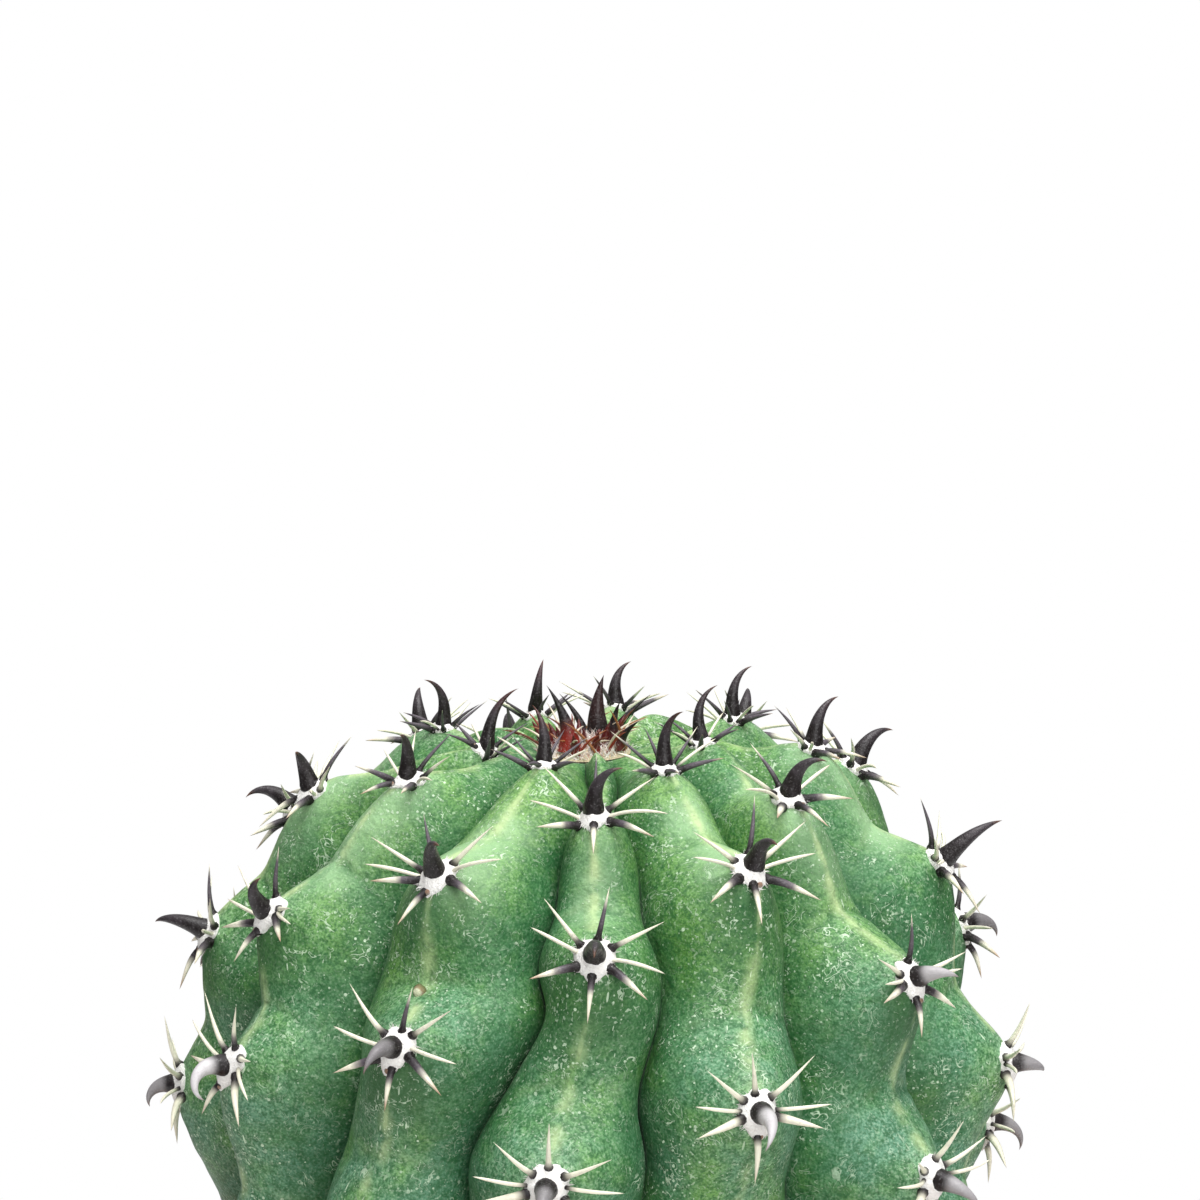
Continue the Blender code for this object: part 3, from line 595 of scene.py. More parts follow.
class Areole:
    """Place, directions and size of one areole, and the skin round it."""

    def __init__(self, number):
        self.number = number
        self.rib = RIBS_ON * number % RIBS
        self.run = areole_place(number)[0]
        self.centre = self.beside(0, 0)
        self.down = (self.beside(0, SLOPE_BELOW) - self.beside(0, -SLOPE_ABOVE)).normalized()
        azimuth = rib_state(self.rib, self.run)[0]
        right = Vector((cos(azimuth), sin(azimuth), 0))
        self.right = (right - self.down * right.dot(self.down)).normalized()
        self.normal = self.right.cross(-self.down).normalized()
        self.size = between((YOUNG_CLUSTER, 1), smooth(FIRST_AREOLE, CLUSTER_GROWN, self.run))
        self.left_step = (self.beside(-SEAT_PROBE, 0) - self.centre).length / SEAT_PROBE
        self.right_step = (self.beside(SEAT_PROBE, 0) - self.centre).length / SEAT_PROBE

    def beside(self, side, along):
        return stem_point(self.rib, side, self.run + along)

    def heading(self, clock):
        """Direction on the skin at a clock angle."""
        return swung(-self.down, self.right, clock)

    def outward(self, clock, share):
        """The felt looks outward in its middle and turns down the flanks towards its edge."""
        return (self.normal + self.right * sin(clock) * FLANK_TURN * share).normalized()

    def skin_at(self, reach, clock):
        """Point of the skin at a measured reach from the centre, in the direction of a clock angle."""
        across = reach * sin(clock)
        side_step = self.left_step if across < 0 else self.right_step
        return self.beside(across / side_step, -reach * cos(clock) / RUN_LENGTH)


def hook_points(areole, rng):
    """Points of an areole's hook: measured where it shows in front, by a seeded rule elsewhere."""
    age = smooth(HOOK_YOUNG, HOOK_OLD, areole.run)
    clock = rng.choice((-1, 1)) * HOOK_CLOCK + rng.uniform(-HOOK_CLOCK_SPREAD, HOOK_CLOCK_SPREAD)
    length = HOOK_LENGTH * rng.uniform(*HOOK_LENGTH_SPREAD)
    grown = (clock, between(HOOK_RISES, age), between(HOOK_TURNS, age), length)
    clock, rise, turn, length = HOOK_SHAPES.get(areole.number, grown)
    start = (areole.normal - areole.down * rise).normalized()
    curl = areole.heading(radians(clock))
    curl = (curl - start * curl.dot(start)).normalized()
    point = areole.centre + start * HOOK_START
    points = [areole.centre - areole.normal * ROOT_SINK, point]
    for k in range(HOOK_PARTS):
        angle = radians(turn) * ((k + 0.5) / HOOK_PARTS) ** HOOK_BEND
        point = point + swung(start, curl, angle) * (length / HOOK_PARTS)
        points.append(point)
    return points


def clear_of_pot(point):
    if point.z < GRIT_TOP + SPINE_CLEARANCE:
        return False
    reach = hypot(point.x, point.y)
    return point.z > POT_HEIGHT + SPINE_CLEARANCE or reach < pot_inner_radius(POT_HEIGHT) - SPINE_CLEARANCE


def pot_outer_radius(z):
    top = POT_RIM_RADIUS - POT_BAND_STEP
    return POT_FOOT_RADIUS + (top - POT_FOOT_RADIUS) * z / POT_HEIGHT


def pot_inner_radius(z):
    return pot_outer_radius(z) - POT_WALL


# Mesh helpers


def turns(count):
    """Angles in equal steps round a full turn."""
    return [FULL_TURN * i / count for i in range(count)]


class Shape:
    """Points, faces and a colour for each point, gathered for one piece."""

    def __init__(self):
        self.points = []
        self.faces = []
        self.tints = []

    def add(self, point, tint=WHITE):
        self.points.append(tuple(point))
        self.tints.append((*tint, 1))
        return len(self.points) - 1

    def band(self, first, second):
        count = len(first)
        for i in range(count):
            j = (i + 1) % count
            self.faces.append((first[i], second[i], second[j], first[j]))

    def fan(self, ring, centre):
        count = len(ring)
        for i in range(count):
            self.faces.append((ring[i], ring[(i + 1) % count], centre))

    def dome(self, rings, top, tint=WHITE):
        """Bands outward from ring to ring, closed over the first one."""
        for inner, outer in zip(rings, rings[1:]):
            self.band(inner, outer)
        self.fan(rings[0], self.add(top, tint))

    def loop(self, rings):
        """Bands from ring to ring and back to the first one."""
        for k, ring in enumerate(rings):
            self.band(ring, rings[(k + 1) % len(rings)])

    def hair(self, root, tip, wide, tint):
        """Flat hair that narrows to its tip."""
        middle = (root + tip) / 2
        corners = (root - wide, root + wide, middle + wide * 0.7, tip, middle - wide * 0.7)
        self.faces.append(tuple(self.add(corner, tint) for corner in corners))

    def tube(self, points, radii, sides, tint_at, shares=None):
        """Round tapering tube through the points, with an open sunken root and a sharp tip."""
        side = (points[1] - points[0]).normalized().orthogonal().normalized()
        before = None
        last = len(points) - 1
        for k in range(last):
            tangent = (points[k + 1] - points[max(k - 1, 0)]).normalized()
            side = (side - tangent * side.dot(tangent)).normalized()
            other = tangent.cross(side)
            tint = tint_at(shares[k] if shares else k / last)
            offsets = [swung(side, other, angle) * radii[k] for angle in turns(sides)]
            ring = [self.add(points[k] + offset, tint) for offset in offsets]
            if before is not None:
                self.band(ring, before)
            before = ring
        self.fan(before, self.add(points[last], tint_at(1)))

    def horn(self, root, tip, bow, radius, taper, parts, sides, tint_at):
        """Round pointed spine that bows aside between its root and its tip."""
        shares = [k / parts for k in range(parts + 1)]
        points = [root + (tip - root) * share + bow * (4 * share * (1 - share)) for share in shares]
        self.tube(points, [radius * (1 - share ** taper) for share in shares], sides, tint_at)

    def make(self, name, material, smooth_faces=True):
        mesh = bpy.data.meshes.new(name)
        mesh.from_pydata(self.points, [], self.faces)
        tint = mesh.attributes.new("tint", "FLOAT_COLOR", "POINT")
        tint.data.foreach_set("color", [value for colour in self.tints for value in colour])
        mesh.polygons.foreach_set("use_smooth", [smooth_faces] * len(mesh.polygons))
        mesh.materials.append(material)
        mesh.update()
        obj = bpy.data.objects.new(name, mesh)
        bpy.context.scene.collection.objects.link(obj)
        return obj


def turn_outward(obj):
    bm = bmesh.new()
    bm.from_mesh(obj.data)
    bmesh.ops.recalc_face_normals(bm, faces=bm.faces)
    bm.to_mesh(obj.data)
    bm.free()


# Node helpers


class Nodes:
    """Short ways to build the node tree of a material or of the world."""

    def __init__(self, owner):
        owner.use_nodes = True
        self.owner = owner
        self.tree = owner.node_tree
        self.place = self.node("TexCoord")["Object"]

    def value(self, source, target):
        """Gives an input a number, a vector, a colour or a link."""
        if isinstance(source, (int, float)):
            target.default_value = source
        elif isinstance(source, tuple):
            target.default_value = (*source, 1) if len(target.default_value) == 4 else source
        else:
            self.tree.links.new(source, target)

    def node(self, kind, inputs=None, **settings):
        """Adds a node and returns its outputs."""
        node = self.tree.nodes.new("ShaderNode" + kind)
        for name, setting in settings.items():
            setattr(node, name, setting)
        for name, source in (inputs or {}).items():
            self.value(source, node.inputs[name])
        return node.outputs

    def math(self, operation, *sources):
        return self.node("Math", dict(enumerate(sources)), operation=operation)[0]

    def linear(self, source, slope, start):
        return self.math("MULTIPLY_ADD", source, slope, start)

    def times(self, product, *factors):
        for factor in factors:
            product = self.math("MULTIPLY", product, factor)
        return product

    def noise(self, scale, detail=3, distortion=0, place=None):
        inputs = {"Vector": place or self.place, "Scale": scale, "Detail": detail, "Distortion": distortion}
        return self.node("TexNoise", inputs)["Fac"]

    def cells(self, scale, place=None):
        """Distance to the nearest of scattered points and two random values for each."""
        found = self.node("TexVoronoi", {"Vector": place or self.place, "Scale": scale})
        picks = self.node("SeparateColor", {0: found["Color"]})
        return found["Distance"], picks[0], picks[1]

    def stretched(self, scale, place=None):
        return self.node("Mapping", {"Vector": place or self.place, "Scale": scale})[0]

    def step(self, source, low, high, first=0, last=1, kind="SMOOTHSTEP"):
        inputs = {"Value": source, "From Min": low, "From Max": high, "To Min": first, "To Max": last}
        return self.node("MapRange", inputs, interpolation_type=kind)[0]

    def patches(self, scale, detail, low, high, *ends):
        """Noise that fades in between two of its values."""
        return self.step(self.noise(scale, detail), low, high, *ends)

    def blend(self, share, first, second):
        return self.node("Mix", {0: share, 6: first, 7: second}, data_type="RGBA")[2]

    def layered(self, colour, *layers):
        """The colour with tints laid over it in turn, each by the product of its shares."""
        for tint, *shares in layers:
            colour = self.blend(self.times(*shares), colour, tint)
        return colour

    def split(self, vector):
        return self.node("SeparateXYZ", {0: vector})

    def attribute(self, name, output="Fac"):
        return self.node("Attribute", attribute_name=name)[output]

    def bump(self, height, distance, strength):
        return self.node("Bump", {"Height": height, "Distance": distance, "Strength": strength})[0]

    def finish(self, colour, rough, gloss=PLAIN_GLOSS, **more):
        """Sets or links the shader's own sockets and returns the material."""
        shader = self.tree.nodes["Principled BSDF"]
        sources = {"Base Color": colour, "Roughness": rough, "Specular IOR Level": gloss, **more}
        for name, source in sources.items():
            self.value(source, shader.inputs[name])
        return self.owner


def material_nodes(name):
    return Nodes(bpy.data.materials.new(name))


# Materials


def skin_material():
    made = material_nodes("cactus_skin")
    side = made.attribute("rib_side")
    height = made.attribute("stem_height")
    bloom_and_painted_highlight = made.attribute("bloom_and_painted_highlight")
    place = made.attribute("skin_place", "Vector")
    across = made.math("ABSOLUTE", made.split(place)[0])
    patch = made.noise(90, 4)
    grain = made.noise(2100, 2)
    uneven = made.patches(190, 3, 0.34, 0.62)
    low = made.step(height, 0.9, 0.4)
    flecks = fleck_mask(made, place, side)
    # Painted shade under the pads: deep green, turning partly olive lower down
    under = made.blend(made.times(low, 0.3), SKIN_DEEP, SKIN_OLIVE)
    colour = made.layered(
        made.blend(made.patches(34, 2, 0.38, 0.6), SKIN_GREEN, SKIN_YELLOW),
        # Broad patches, then the grain
        (SKIN_BLUE, made.step(patch, 0.2, 0.64), made.linear(low, 0.84, 0.08)),
        (SKIN_HALO, made.attribute("pad_halo"), 0.35),
        (SKIN_YELLOW, made.patches(260, 4, 0.5, 0.72), made.linear(low, -0.28, 0.42)),
        (SKIN_DEEP, made.patches(230, 4, 0.52, 0.34), 0.4),
        (SKIN_DEEP, made.patches(760, 3, 0.54, 0.36), 0.55),
        (SKIN_DEEP, made.step(grain, 0.5, 0.36), 0.6),
        (SKIN_FLECK, made.step(grain, 0.54, 0.66), 0.2),
        # Painted light: a painted highlight on the upper flanks, painted shade under each tubercle, towards
        # the furrows and under the pads, and painted shade in the creases with a painted highlight along
        # them
        (SKIN_HALO, bloom_and_painted_highlight, made.step(patch, 0.8, 0.4), 0.85),
        (SKIN_DEEP, made.attribute("shaded"), 0.3),
        (SKIN_DEEP, made.step(side, 0.3, 0.95), made.linear(low, 0.12, 0.52)),
        (under, made.attribute("painted_shade_under_pad"), made.step(patch, 0.25, 0.55, 0.35, 0.75)),
        (SKIN_DEEP, made.attribute("crease"), made.step(patch, 0.35, 0.6), 0.4),
        (SKIN_KEEL, made.attribute("crease_edge"), uneven, 0.1),
        # Flecks, the pale lines of the crest, wider where the upper flanks carry the painted highlight,
        # painted shade at the furrow's bottom and cork at the foot
        (SKIN_FLECK, flecks, 0.76),
        (SKIN_KEEL, made.step(across, 0.0007, 0.0002), uneven, made.step(patch, 0.4, 0.6), 0.4),
        (SKIN_KEEL, bloom_and_painted_highlight, made.step(across, 0.0013, 0.0003), uneven, 0.45),
        (SKIN_KEEL, made.attribute("keel_cream"), made.step(across, 0.0026, 0.0003), uneven, 0.42),
        (FURROW_SHADE, made.step(side, 0.962, 0.998)),
        (SKIN_CORK, made.patches(120, 5, 0.5, 0.64), made.step(height, 0.16, 0), 0.8),
    )
    fine = made.linear(made.noise(1100), 0.6, made.noise(320))
    normal = made.bump(made.linear(flecks, 0.5, fine), 0.0006, 0.8)
    return made.finish(colour, made.step(patch, 0.3, 0.7, 0.46, 0.62), 0.32, Normal=normal)


def fleck_mask(made, place, side):
    """Fine pale dots, dashes along the ribs, broken strokes and thin curls, in loose crowds."""
    crowd = made.patches(80, 3, 0.36, 0.62)
    along_rib = made.stretched((1, 0.22, 1), place)
    marks = (
        dots(made, 1050, None, (0.35, 0.9), (0.14, 0.16), made.linear(crowd, 0.65, 0.45)),
        dots(made, 560, None, (0.55, 1), (0.1, 0.12)),
        dots(made, 900, along_rib, (0.2, 0.85), (0.12, 0.1), made.step(side, 1, 0.15)),
        lines(made, (620, 1, 0.6), 0.04, made.patches(1300, 1, 0.56, 0.62), crowd, 0.8),
        lines(made, (300, 1.5, 1.8), 0.016, made.patches(150, 1, 0.56, 0.6), 0.9),
    )
    strongest = 0
    for mark in marks:
        strongest = made.math("MAXIMUM", strongest, mark)
    thinned = made.patches(52, 2, 0.4, 0.62, 0.42, 1)
    return made.times(strongest, made.patches(420, 2, 0.28, 0.5), thinned)


def dots(made, scale, place, picked, sizes, *shares):
    """Round dots of mixed sizes in some of the cells."""
    distance, pick, size = made.cells(scale, place)
    limit = made.times(made.step(pick, *picked), made.linear(size, *sizes), *shares)
    return made.math("LESS_THAN", distance, limit)


def lines(made, wave, thick, *shares):
    """Thin winding lines where a distorted noise passes its middle value."""
    return made.times(made.math("COMPARE", made.noise(*wave), 0.5, thick), *shares)


def spine_material(name, roughness):
    made = material_nodes(name)
    tint = made.attribute("tint", "Color")
    streak = made.noise(800, 5)
    # Lilac-grey streaks are a painted sheen; the fine silver flecks are silvering from wear
    wear_and_painted_sheen = made.layered(
        tint,
        (SPINE_LILAC, made.step(streak, 0.52, 0.74), 0.26),
        (SPINE_SILVER, made.patches(2600, 2, 0.55, 0.75), 0.18),
    )
    rough = made.step(streak, 0.3, 0.7, roughness - 0.08, roughness + 0.14)
    normal = made.bump(made.math("ADD", streak, made.noise(2400, 2)), 0.00016, 0.7)
    return made.finish(made.blend(0.65, tint, wear_and_painted_sheen), rough, 0.42, Normal=normal)


def wool_material(name, shade):
    made = material_nodes(name)
    felt = made.noise(1900, 5, 0.8)
    # The felt's low places turn towards the second tint: for the areole pads a grey that is painted shade in
    # the pits, for the crown wool its own red
    colour = made.blend(made.step(felt, 0.5, 0.28, 0, 0.3), made.attribute("tint", "Color"), shade)
    return made.finish(colour, 0.95, 0.15, Normal=made.bump(felt, 0.0005, 0.9))


def clay_material():
    made = material_nodes("clay_pot")
    fine = made.noise(420, 6)
    foot = made.step(made.split(made.place)[2], 0.085, 0.01)
    distance, pick, _ = made.cells(700)
    colour = made.layered(
        made.blend(made.patches(14, 4, 0.35, 0.65), CLAY_RED, CLAY_TAN),
        (CLAY_PALE, made.step(fine, 0.52, 0.75, 0, 0.5)),
        (CLAY_BLOOM, made.patches(32, 5, 0.5, 0.68), foot, 0.45),
        (CLAY_GRAIN, made.math("LESS_THAN", distance, 0.16), made.step(pick, 0.6, 0.7), 0.5),
    )
    grooves = made.noise(2, 2, 0, made.stretched((0.4, 0.4, 480)))
    normal = made.bump(made.linear(grooves, 0.5, fine), 0.0006, 0.5)
    return made.finish(colour, made.step(fine, 0.3, 0.7, 0.78, 0.92), Normal=normal)


def stone_material(name):
    made = material_nodes(name)
    fine = made.noise(900, 5)
    colour = made.layered(
        made.attribute("tint", "Color"),
        (GRIT_DARK, made.step(fine, 0.35, 0.7, 0, 0.5)),
        (GRIT_PALE, made.patches(260, 3, 0.55, 0.7, 0, 0.6)),
    )
    return made.finish(colour, 0.88, Normal=made.bump(fine, 0.0006, 0.7))


def soil_material(name, dark, pale):
    made = material_nodes(name)
    colour = made.blend(made.patches(300, 5, 0.35, 0.7), dark, pale)
    return made.finish(colour, 0.95, Normal=made.bump(made.cells(420)[0], 0.001, 0.9))


# Skin of the stem


def skin_runs():
    """Places of the rings, from the bare hollow at the apex down to the grit."""
    first = run_at_radius(HOLLOW_RADIUS)
    count = int((GRIT_RUN - first) / SKIN_RUN_STEP)
    return [first + (GRIT_RUN - first) * k / count for k in range(count + 1)]


def skin_sides():
    """Places across a rib, closer together towards the furrows."""
    half = SKIN_COLUMNS // 2
    spread = [1 - (1 - k / half) ** SKIN_SPREAD for k in range(half)]
    return [-1] + [-value for value in reversed(spread[1:])] + spread


def crease_at(share, side):
    """Strength of the crease that runs from the pinch in the crest down the flanks."""
    away = (share - PINCH_AT - CREASE_SLANT * side) / CREASE_WIDTH
    return exp(-away * away) * smooth(0.02, 0.2, side) * smooth(0.85, 0.55, side)


def skin_point(rib, side, run, share):
    """Surface point with the small unevenness of the grown skin."""
    point = stem_point(rib, side, run)
    wave = sum(weight * noise.noise(point * scale) for scale, weight in SKIN_WAVES)
    wave = wave * SKIN_ROUGH - crease_at(share, abs(side)) * CREASE_DEPTH
    outward = (point - UP * GLOBE_CENTRE_Z).normalized()
    return point + outward * wave * smooth(FIRST_RING, SKIN_WAVES_RUN, run)


def skin_marks(rib, side, run, share, across, height):
    """Values that the skin's material reads at a point."""
    below = share * AREOLES_ROUND * RUN_LENGTH
    above = (1 - share) * AREOLES_ROUND * RUN_LENGTH
    to_pad = hypot(min(below, above), across)
    # Painted shade under the pads and under each tubercle comes in below the crown and ends at the lower
    # areoles
    grown = smooth(*SHADED_RUNS, run) * smooth(*SHADED_END, run - AREOLES_ROUND * share)
    under = smooth(0.02, 0.18, share) * smooth(0.62, 0.42, share)
    # Besides the skin's own tones, some of these carry painted light: shade under the pads and tubercles, a
    # highlight on the upper flanks, and shade in the creases with a highlight beside them
    return {
        "rib_side": abs(side),
        "stem_height": (height - GRIT_TOP) / (GLOBE_RISE + GLOBE_CENTRE_Z - GRIT_TOP),
        "pad_halo": smooth(HALO_REACH, 0.004, to_pad),
        "painted_shade_under_pad": smooth(0.021, 0.006, below) * smooth(0.013, 0.003, abs(across)) * grown,
        "keel_cream": smooth(0.2, 0.5, share) * smooth(1, 0.85, share),
        "crease": crease_at(share, abs(side)),
        "crease_edge": crease_at(share + CREASE_EDGE, abs(side)),
        "shaded": under * smooth(1, 0.5, abs(side)) * grown,
        "bloom_and_painted_highlight": smooth(*PAINTED_HIGHLIGHT_RUNS, run) * smooth(*PAINTED_HIGHLIGHT_END, run) * smooth(0.75, 0.1, abs(side)),
    }


def measured_across(points):
    """Distance of each point of one rib's row from the crest, along the surface."""
    crest = SKIN_COLUMNS // 2
    across = [0] * len(points)
    for k in range(crest + 1, len(points)):
        across[k] = across[k - 1] + (points[k] - points[k - 1]).length
    for k in range(crest - 1, -1, -1):
        across[k] = across[k + 1] - (points[k] - points[k + 1]).length
    return across


def make_skin():
    shape = Shape()
    marks = {}
    places = []
    rings = []
    sides = skin_sides()
    for run in skin_runs():
        ring = []
        for rib in range(RIBS):
            share = rib_state(rib, run)[1]
            row = [skin_point(rib, side, run, share) for side in sides]
            for side, point, across in zip(sides, row, measured_across(row)):
                ring.append(shape.add(point))
                places.extend((across, run * RUN_LENGTH, RIB_SHIFT * rib))
                for name, value in skin_marks(rib, side, run, share, across, point.z).items():
                    marks.setdefault(name, []).append(value)
        rings.append(ring)
    shape.dome(rings, lean(hollow_point(0, 0), FIRST_RING))
    shape.fan(rings[-1], shape.add((0, 0, GRIT_TOP - GRIT_DEPTH)))
    obj = shape.make("stem_skin", skin_material())
    for name, values in marks.items():
        attribute = obj.data.attributes.new(name, "FLOAT", "POINT")
        attribute.data.foreach_set("value", values + [0, 0])
    attribute = obj.data.attributes.new("skin_place", "FLOAT_VECTOR", "POINT")
    attribute.data.foreach_set("vector", places + [0] * 6)
    turn_outward(obj)
    return obj


# Felt pads


def felt_reach(angle):
    """Reach of the felt at a clock angle: squarish above, drawn to a point below."""
    across = abs(sin(angle)) / FELT_WIDTH
    upward = cos(angle)
    power = FELT_SQUARE if upward >= 0 else FELT_POINTED
    along = abs(upward) / (FELT_UP if upward >= 0 else FELT_DOWN)
    return (across ** power + along ** power) ** (-1 / power)


def felt_point(areole, angle, share, under):
    """Point of the domed felt, or of its edge where it goes under."""
    wave = Vector((sin(angle), cos(angle), areole.number)) * FELT_WAVES
    ragged = 1 + FELT_RAGGED * noise.noise(wave) * share
    reach = felt_reach(angle) * areole.size * share * ragged * (FELT_TUCK if under else 1)
    spot = Vector((reach * sin(angle), reach * cos(angle), 0.01 * areole.number))
    lump = 1 + FELT_LUMP * noise.noise(spot * FELT_GRAIN)
    lift = areole.size * (FELT_DOME * (1 - share ** FELT_ROUND) * lump + FELT_EDGE)
    if under:
        lift = -FELT_EDGE
    return areole.skin_at(reach, angle) + areole.outward(angle, share) * lift


def add_pad(shape, areole, rng):
    """Felted wool of one areole, with a thick edge, loose hairs and a gland at its lower point."""
    rings = []
    for k in range(1, FELT_RINGS + 2):
        share = min(k / FELT_RINGS, 1)
        points = [felt_point(areole, angle, share, k > FELT_RINGS) for angle in turns(FELT_SPOKES)]
        rings.append([shape.add(point, FELT_WHITE) for point in points])
    top = areole.centre + areole.normal * (FELT_DOME + FELT_EDGE) * areole.size
    shape.dome(rings, top, FELT_WHITE)
    for _ in range(FELT_HAIRS):
        add_felt_hair(shape, areole, rng)
    add_gland(shape, areole)


def add_felt_hair(shape, areole, rng):
    angle = rng.uniform(0, FULL_TURN)
    reach = felt_reach(angle) * areole.size * rng.uniform(0.8, 1)
    root = areole.skin_at(reach, angle) + areole.outward(angle, 1) * FELT_EDGE * areole.size
    swing = areole.right * rng.uniform(-0.7, 0.7) + areole.down * rng.uniform(-0.7, 0.7)
    swing = areole.heading(angle) + swing + areole.normal * rng.uniform(-0.3, 0.5)
    tip = root + swing.normalized() * rng.uniform(*FELT_HAIR)
    wide = (tip - root).cross(areole.normal).normalized() * HAIR_WIDTH
    shape.hair(root, tip, wide, mix(FELT_WHITE, FELT_GREY, rng.uniform(0, 0.4)))


def add_knob(shape, centre, normal, rings, sides, ragged, top):
    """Round knob from its top outward: radius, height and colour of each ring."""
    side = normal.orthogonal().normalized()
    other = normal.cross(side)
    made = []
    for radius, lift, tint in rings:
        ring = []
        for angle in turns(sides):
            spot = Vector((cos(angle), sin(angle), radius * WART_WAVES)) * 2
            reach = radius * (1 + ragged * noise.noise(spot))
            ring.append(shape.add(centre + swung(side, other, angle) * reach + normal * lift, tint))
        made.append(ring)
    shape.dome(made, centre + normal * top, rings[0][2])


def add_wart(shape):
    """Pale cork wart with a darker rim on the crest of rib 12, above its lower areole."""
    rib, run, beside = WART_PLACE
    centre = stem_point(rib, beside, run)
    normal = (centre - UP * centre.z).normalized()
    add_knob(shape, centre, normal, WART_RINGS, WART_SIDES, WART_RAGGED, WART_RINGS[0][1])


def add_gland(shape, areole):
    """Small brown knob in the lower point of the felt."""
    radius = GLAND_RADIUS * areole.size
    centre = areole.skin_at(FELT_DOWN * GLAND_DOWN * areole.size, pi) + areole.normal * FELT_EDGE
    rings = []
    for k in range(1, GLAND_RINGS + 1):
        share = k / GLAND_RINGS
        polar = pi * 0.5 * share
        tint = mix(GLAND_BROWN, FELT_GREY, smooth(0.4, 1.2, share))
        rings.append((radius * sin(polar), radius * cos(polar), tint))
    add_knob(shape, centre, areole.normal, rings, GLAND_SIDES, 0, radius)


# Spines


def radial_tint(index, run, rng):
    """Colour along a radial spine: black bulb, grey foot, ivory shaft, and rust at the end of some."""
    young = smooth(*RADIAL_YOUNG, run)
    old = smooth(*RADIAL_OLD, run)
    dark_to = between((RADIAL_LOOKS[index][2] * rng.uniform(0.85, 1.15), 0.22), old)
    dark_to = between((dark_to, 1.05), young * (0.25 if index in THIN else 0.8))
    rusty = rng.uniform(0.2, 0.8) * (1 if index in RUSTY else 0.3) * (1 - 0.6 * old)

    def tint_at(share):
        dark = mix(SPINE_BLACK, SPINE_LILAC, smooth(0.2, 0.5, share) * 0.75)
        pale = mix(SPINE_IVORY, SPINE_RUST, smooth(0.62, 0.95, share) * rusty)
        return mix(dark, pale, smooth(dark_to - 0.07, dark_to + 0.1, share))

    return tint_at


def radial_radius(index, share, size):
    """Radius along a radial spine: a bulb in the felt, then a rod or a taper to the tip."""
    bulb, shaft, _ = RADIAL_LOOKS[index]
    round_part = 1 - ((share - BULB_SHARE) / BULB_SHARE) ** 2
    body = shaft * (1 - share ** (5 if index in THIN else 1.9))
    return size * max(bulb * sqrt(max(0, round_part)), body)


def radial_path(base, tip, normal, out, length, bow):
    """Points of a radial spine that rises out of the felt and arches to its tip."""
    ends = (
        base - normal * BULB_SINK - out * BULB_SINK,
        base + normal * (0.1 * length + bow) + out * 0.1 * length,
        base + (tip - base) * 0.6 + normal * bow,
        tip,
    )
    points = []
    for share in RADIAL_SHARES:
        rest = 1 - share
        weights = (rest ** 3, 3 * rest * rest * share, 3 * rest * share * share, share ** 3)
        points.append(sum((end * weight for end, weight in zip(ends, weights)), Vector()))
    return points


def hook_tint(number, run, rng):
    """Colour along a central hook: near black high up, silvered with a dark root low down."""
    drawn = rng.uniform(0.6, 1.2)
    silver = HOOK_SILVER.get(number, 0.45 * smooth(*HOOK_SILVERED, run) * drawn)
    young = smooth(*HOOK_REDDISH, run) * rng.uniform(0.1, 0.8)

    def tint_at(share):
        dark = mix(SPINE_BLACK, SPINE_LILAC, 0.22 * smooth(0.25, 0.6, share))
        dark = mix(dark, SPINE_RUST, 0.4 * smooth(0.78, 1, share))
        dark = mix(dark, SPINE_MAROON, 0.6 * young * smooth(0.45, 0.8, share))
        # On a hook the silver is its own coating of older spines, not light
        bloom_and_painted_highlight = silver * smooth(0.16, 0.36, share) * (1 - 0.6 * smooth(0.8, 1, share))
        return mix(dark, SPINE_SILVER, bloom_and_painted_highlight)

    return tint_at


def hook_profile(share):
    """Radius along a hook from the skin on: a flared foot, a stout shaft and a drawn-out tip."""
    if share < 0:
        return 0.85
    return 0.8 * (1 - share ** 1.2) * (1 + 0.1 * exp(-(share / 0.1) ** 2))


def add_cluster(radials, hooks, areole, rng, loose):
    """One areole's spines, in the part's order of random values so that they stand in the same places."""
    size = areole.size
    young_rise = YOUNG_RISE * (1 - smooth(*YOUNG_RUNS, areole.run))
    for index, (clock, length, rise) in enumerate(RADIALS):
        clock += rng.uniform(-CLOCK_SPREAD, CLOCK_SPREAD)
        if areole.number in CLUSTER_CLOCKS:
            clock = CLUSTER_CLOCKS[areole.number][index]
        clock = radians(clock)
        length = length * size * rng.uniform(*LENGTH_SPREAD)
        rise = radians(rise + young_rise + rng.uniform(*RISE_SPREAD))
        out = areole.heading(clock)
        tip = areole.centre + out * (SPINE_INSET + length * cos(rise))
        tip = tip + areole.normal * length * sin(rise)
        bow = length * (0.08 if index in THIN else 0.03) * loose.uniform(0.4, 1.6)
        tint_at = radial_tint(index, areole.run, loose)
        reach = BULB_REACH * size * loose.uniform(0.95, 1.08) * (1 + 0.22 * max(0, -cos(clock)))
        if clear_of_pot(tip):
            outward = areole.outward(clock, 1)
            base = areole.skin_at(reach, clock) + outward * BULB_LIFT * size
            points = radial_path(base, tip, outward, out, length, bow)
            radii = [radial_radius(index, share, size) for share in RADIAL_SHARES]
            radials.tube(points, radii, RADIAL_SIDES, tint_at, RADIAL_SHARES)
    points = hook_points(areole, rng)
    last = len(points) - 1
    radii = [HOOK_RADIUS * size * hook_profile((k - 1) / (last - 1)) for k in range(last + 1)]
    if all(clear_of_pot(point) for point in points[1:]):
        hooks.tube(points, radii, HOOK_SIDES, hook_tint(areole.number, areole.run, loose))


def dress(obj, node):
    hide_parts(node)
    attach(obj, "root")


